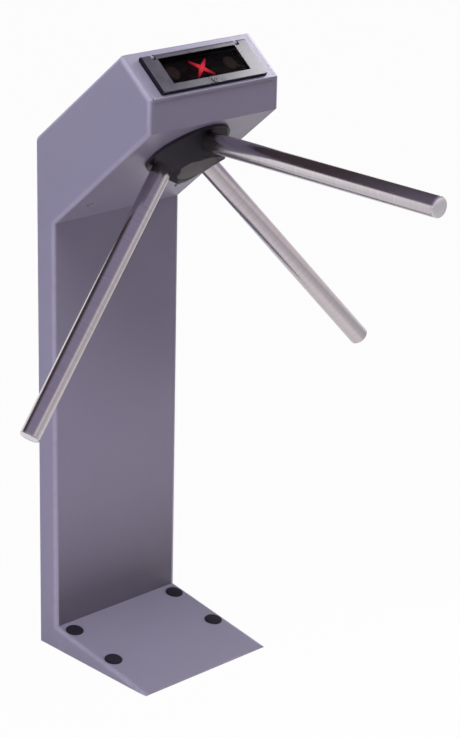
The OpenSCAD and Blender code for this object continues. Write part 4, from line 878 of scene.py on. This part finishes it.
sunk = add_node(screws_tree, "ShaderNodeCombineXYZ", {
    2: calculate(screws_tree, "MULTIPLY", given["Shank length"], -0.5)}).outputs[0]
pushed = add_node(screws_tree, "GeometryNodeTransform", {"Geometry": shank.outputs[0], "Translation": sunk})
screw = add_node(screws_tree, "GeometryNodeJoinGeometry", {0: head.outputs[0]})
screws_tree.links.new(pushed.outputs[0], screw.inputs[0])
print("screw head in mm:", 2000 * HEAD_RADIUS, "across,", 1000 * HEAD_HEIGHT, "high")

# %% Set out the screws
rows = add_node(screws_tree, "GeometryNodeMeshGrid", {
    "Size X": given["Width"], "Size Y": given["Height"], "Vertices X": given["Columns"],
    "Vertices Y": given["Rows"]})
set_out = add_node(screws_tree, "GeometryNodeInstanceOnPoints", {
    "Points": rows.outputs[0], "Instance": screw.outputs[0]})
upright = add_node(screws_tree, "GeometryNodeTransform", {
    "Geometry": set_out.outputs[0], "Translation": given["Middle"],
    "Rotation": turned(screws_tree, x=-math.pi / 2)})
end_tree(screws_tree, upright.outputs[0], given, put)

low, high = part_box("cover_screws")
middle = ((low[0] + high[0]) / 2, high[1] - HEAD_HEIGHT, (low[2] + high[2]) / 2)
cover_screws = grown("cover_screws_dressed", screws_tree, zinc, Middle=middle,
                     Width=high[0] - low[0] - 2 * HEAD_RADIUS, Height=high[2] - low[2] - 2 * HEAD_RADIUS)
settle(cover_screws, "cover_screws", "cover_screws")

# %% [markdown]
# ## Springs
#
# Springs are wound wire. Their CAD solids are real coils, but with few sides, so a copy is smoothed by one level
# of Subdivision Surface.

# %% Dress the springs
SPRING_CREASE = 80
for side in ["left", "right"]:
    spring = dress(side + "_return_spring", spring_steel, 0, SPRING_CREASE, 1)
    low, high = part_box(side + "_return_spring")
    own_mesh(spring)
dress("index_spring", spring_steel, 0, SPRING_CREASE, 1)

# %% [markdown]
# ## Everything behind the covers
#
# The parts inside are seen when the display is open or the rear cover is off. Their CAD shapes are right, so
# they keep them and only get a finish: zinc plate on brackets and screws, machined steel on turned parts.

# %% Finish the inner parts
INNER_FINISHES = {
    "zinc": zinc, "steel": machined, "bronze": bronze, "board": circuit_board, "black_plastic": black_plastic,
}
shown = sorted(name for name, node in cad_nodes.items() if not node.hide_render)
for node in shown:
    finish = spring_steel if node == "frame_screws" else INNER_FINISHES.get(slot_of[node])
    if finish:
        cad_nodes[node].data.materials.clear()
        cad_nodes[node].data.materials.append(finish)
print("nodes still shown:", shown)
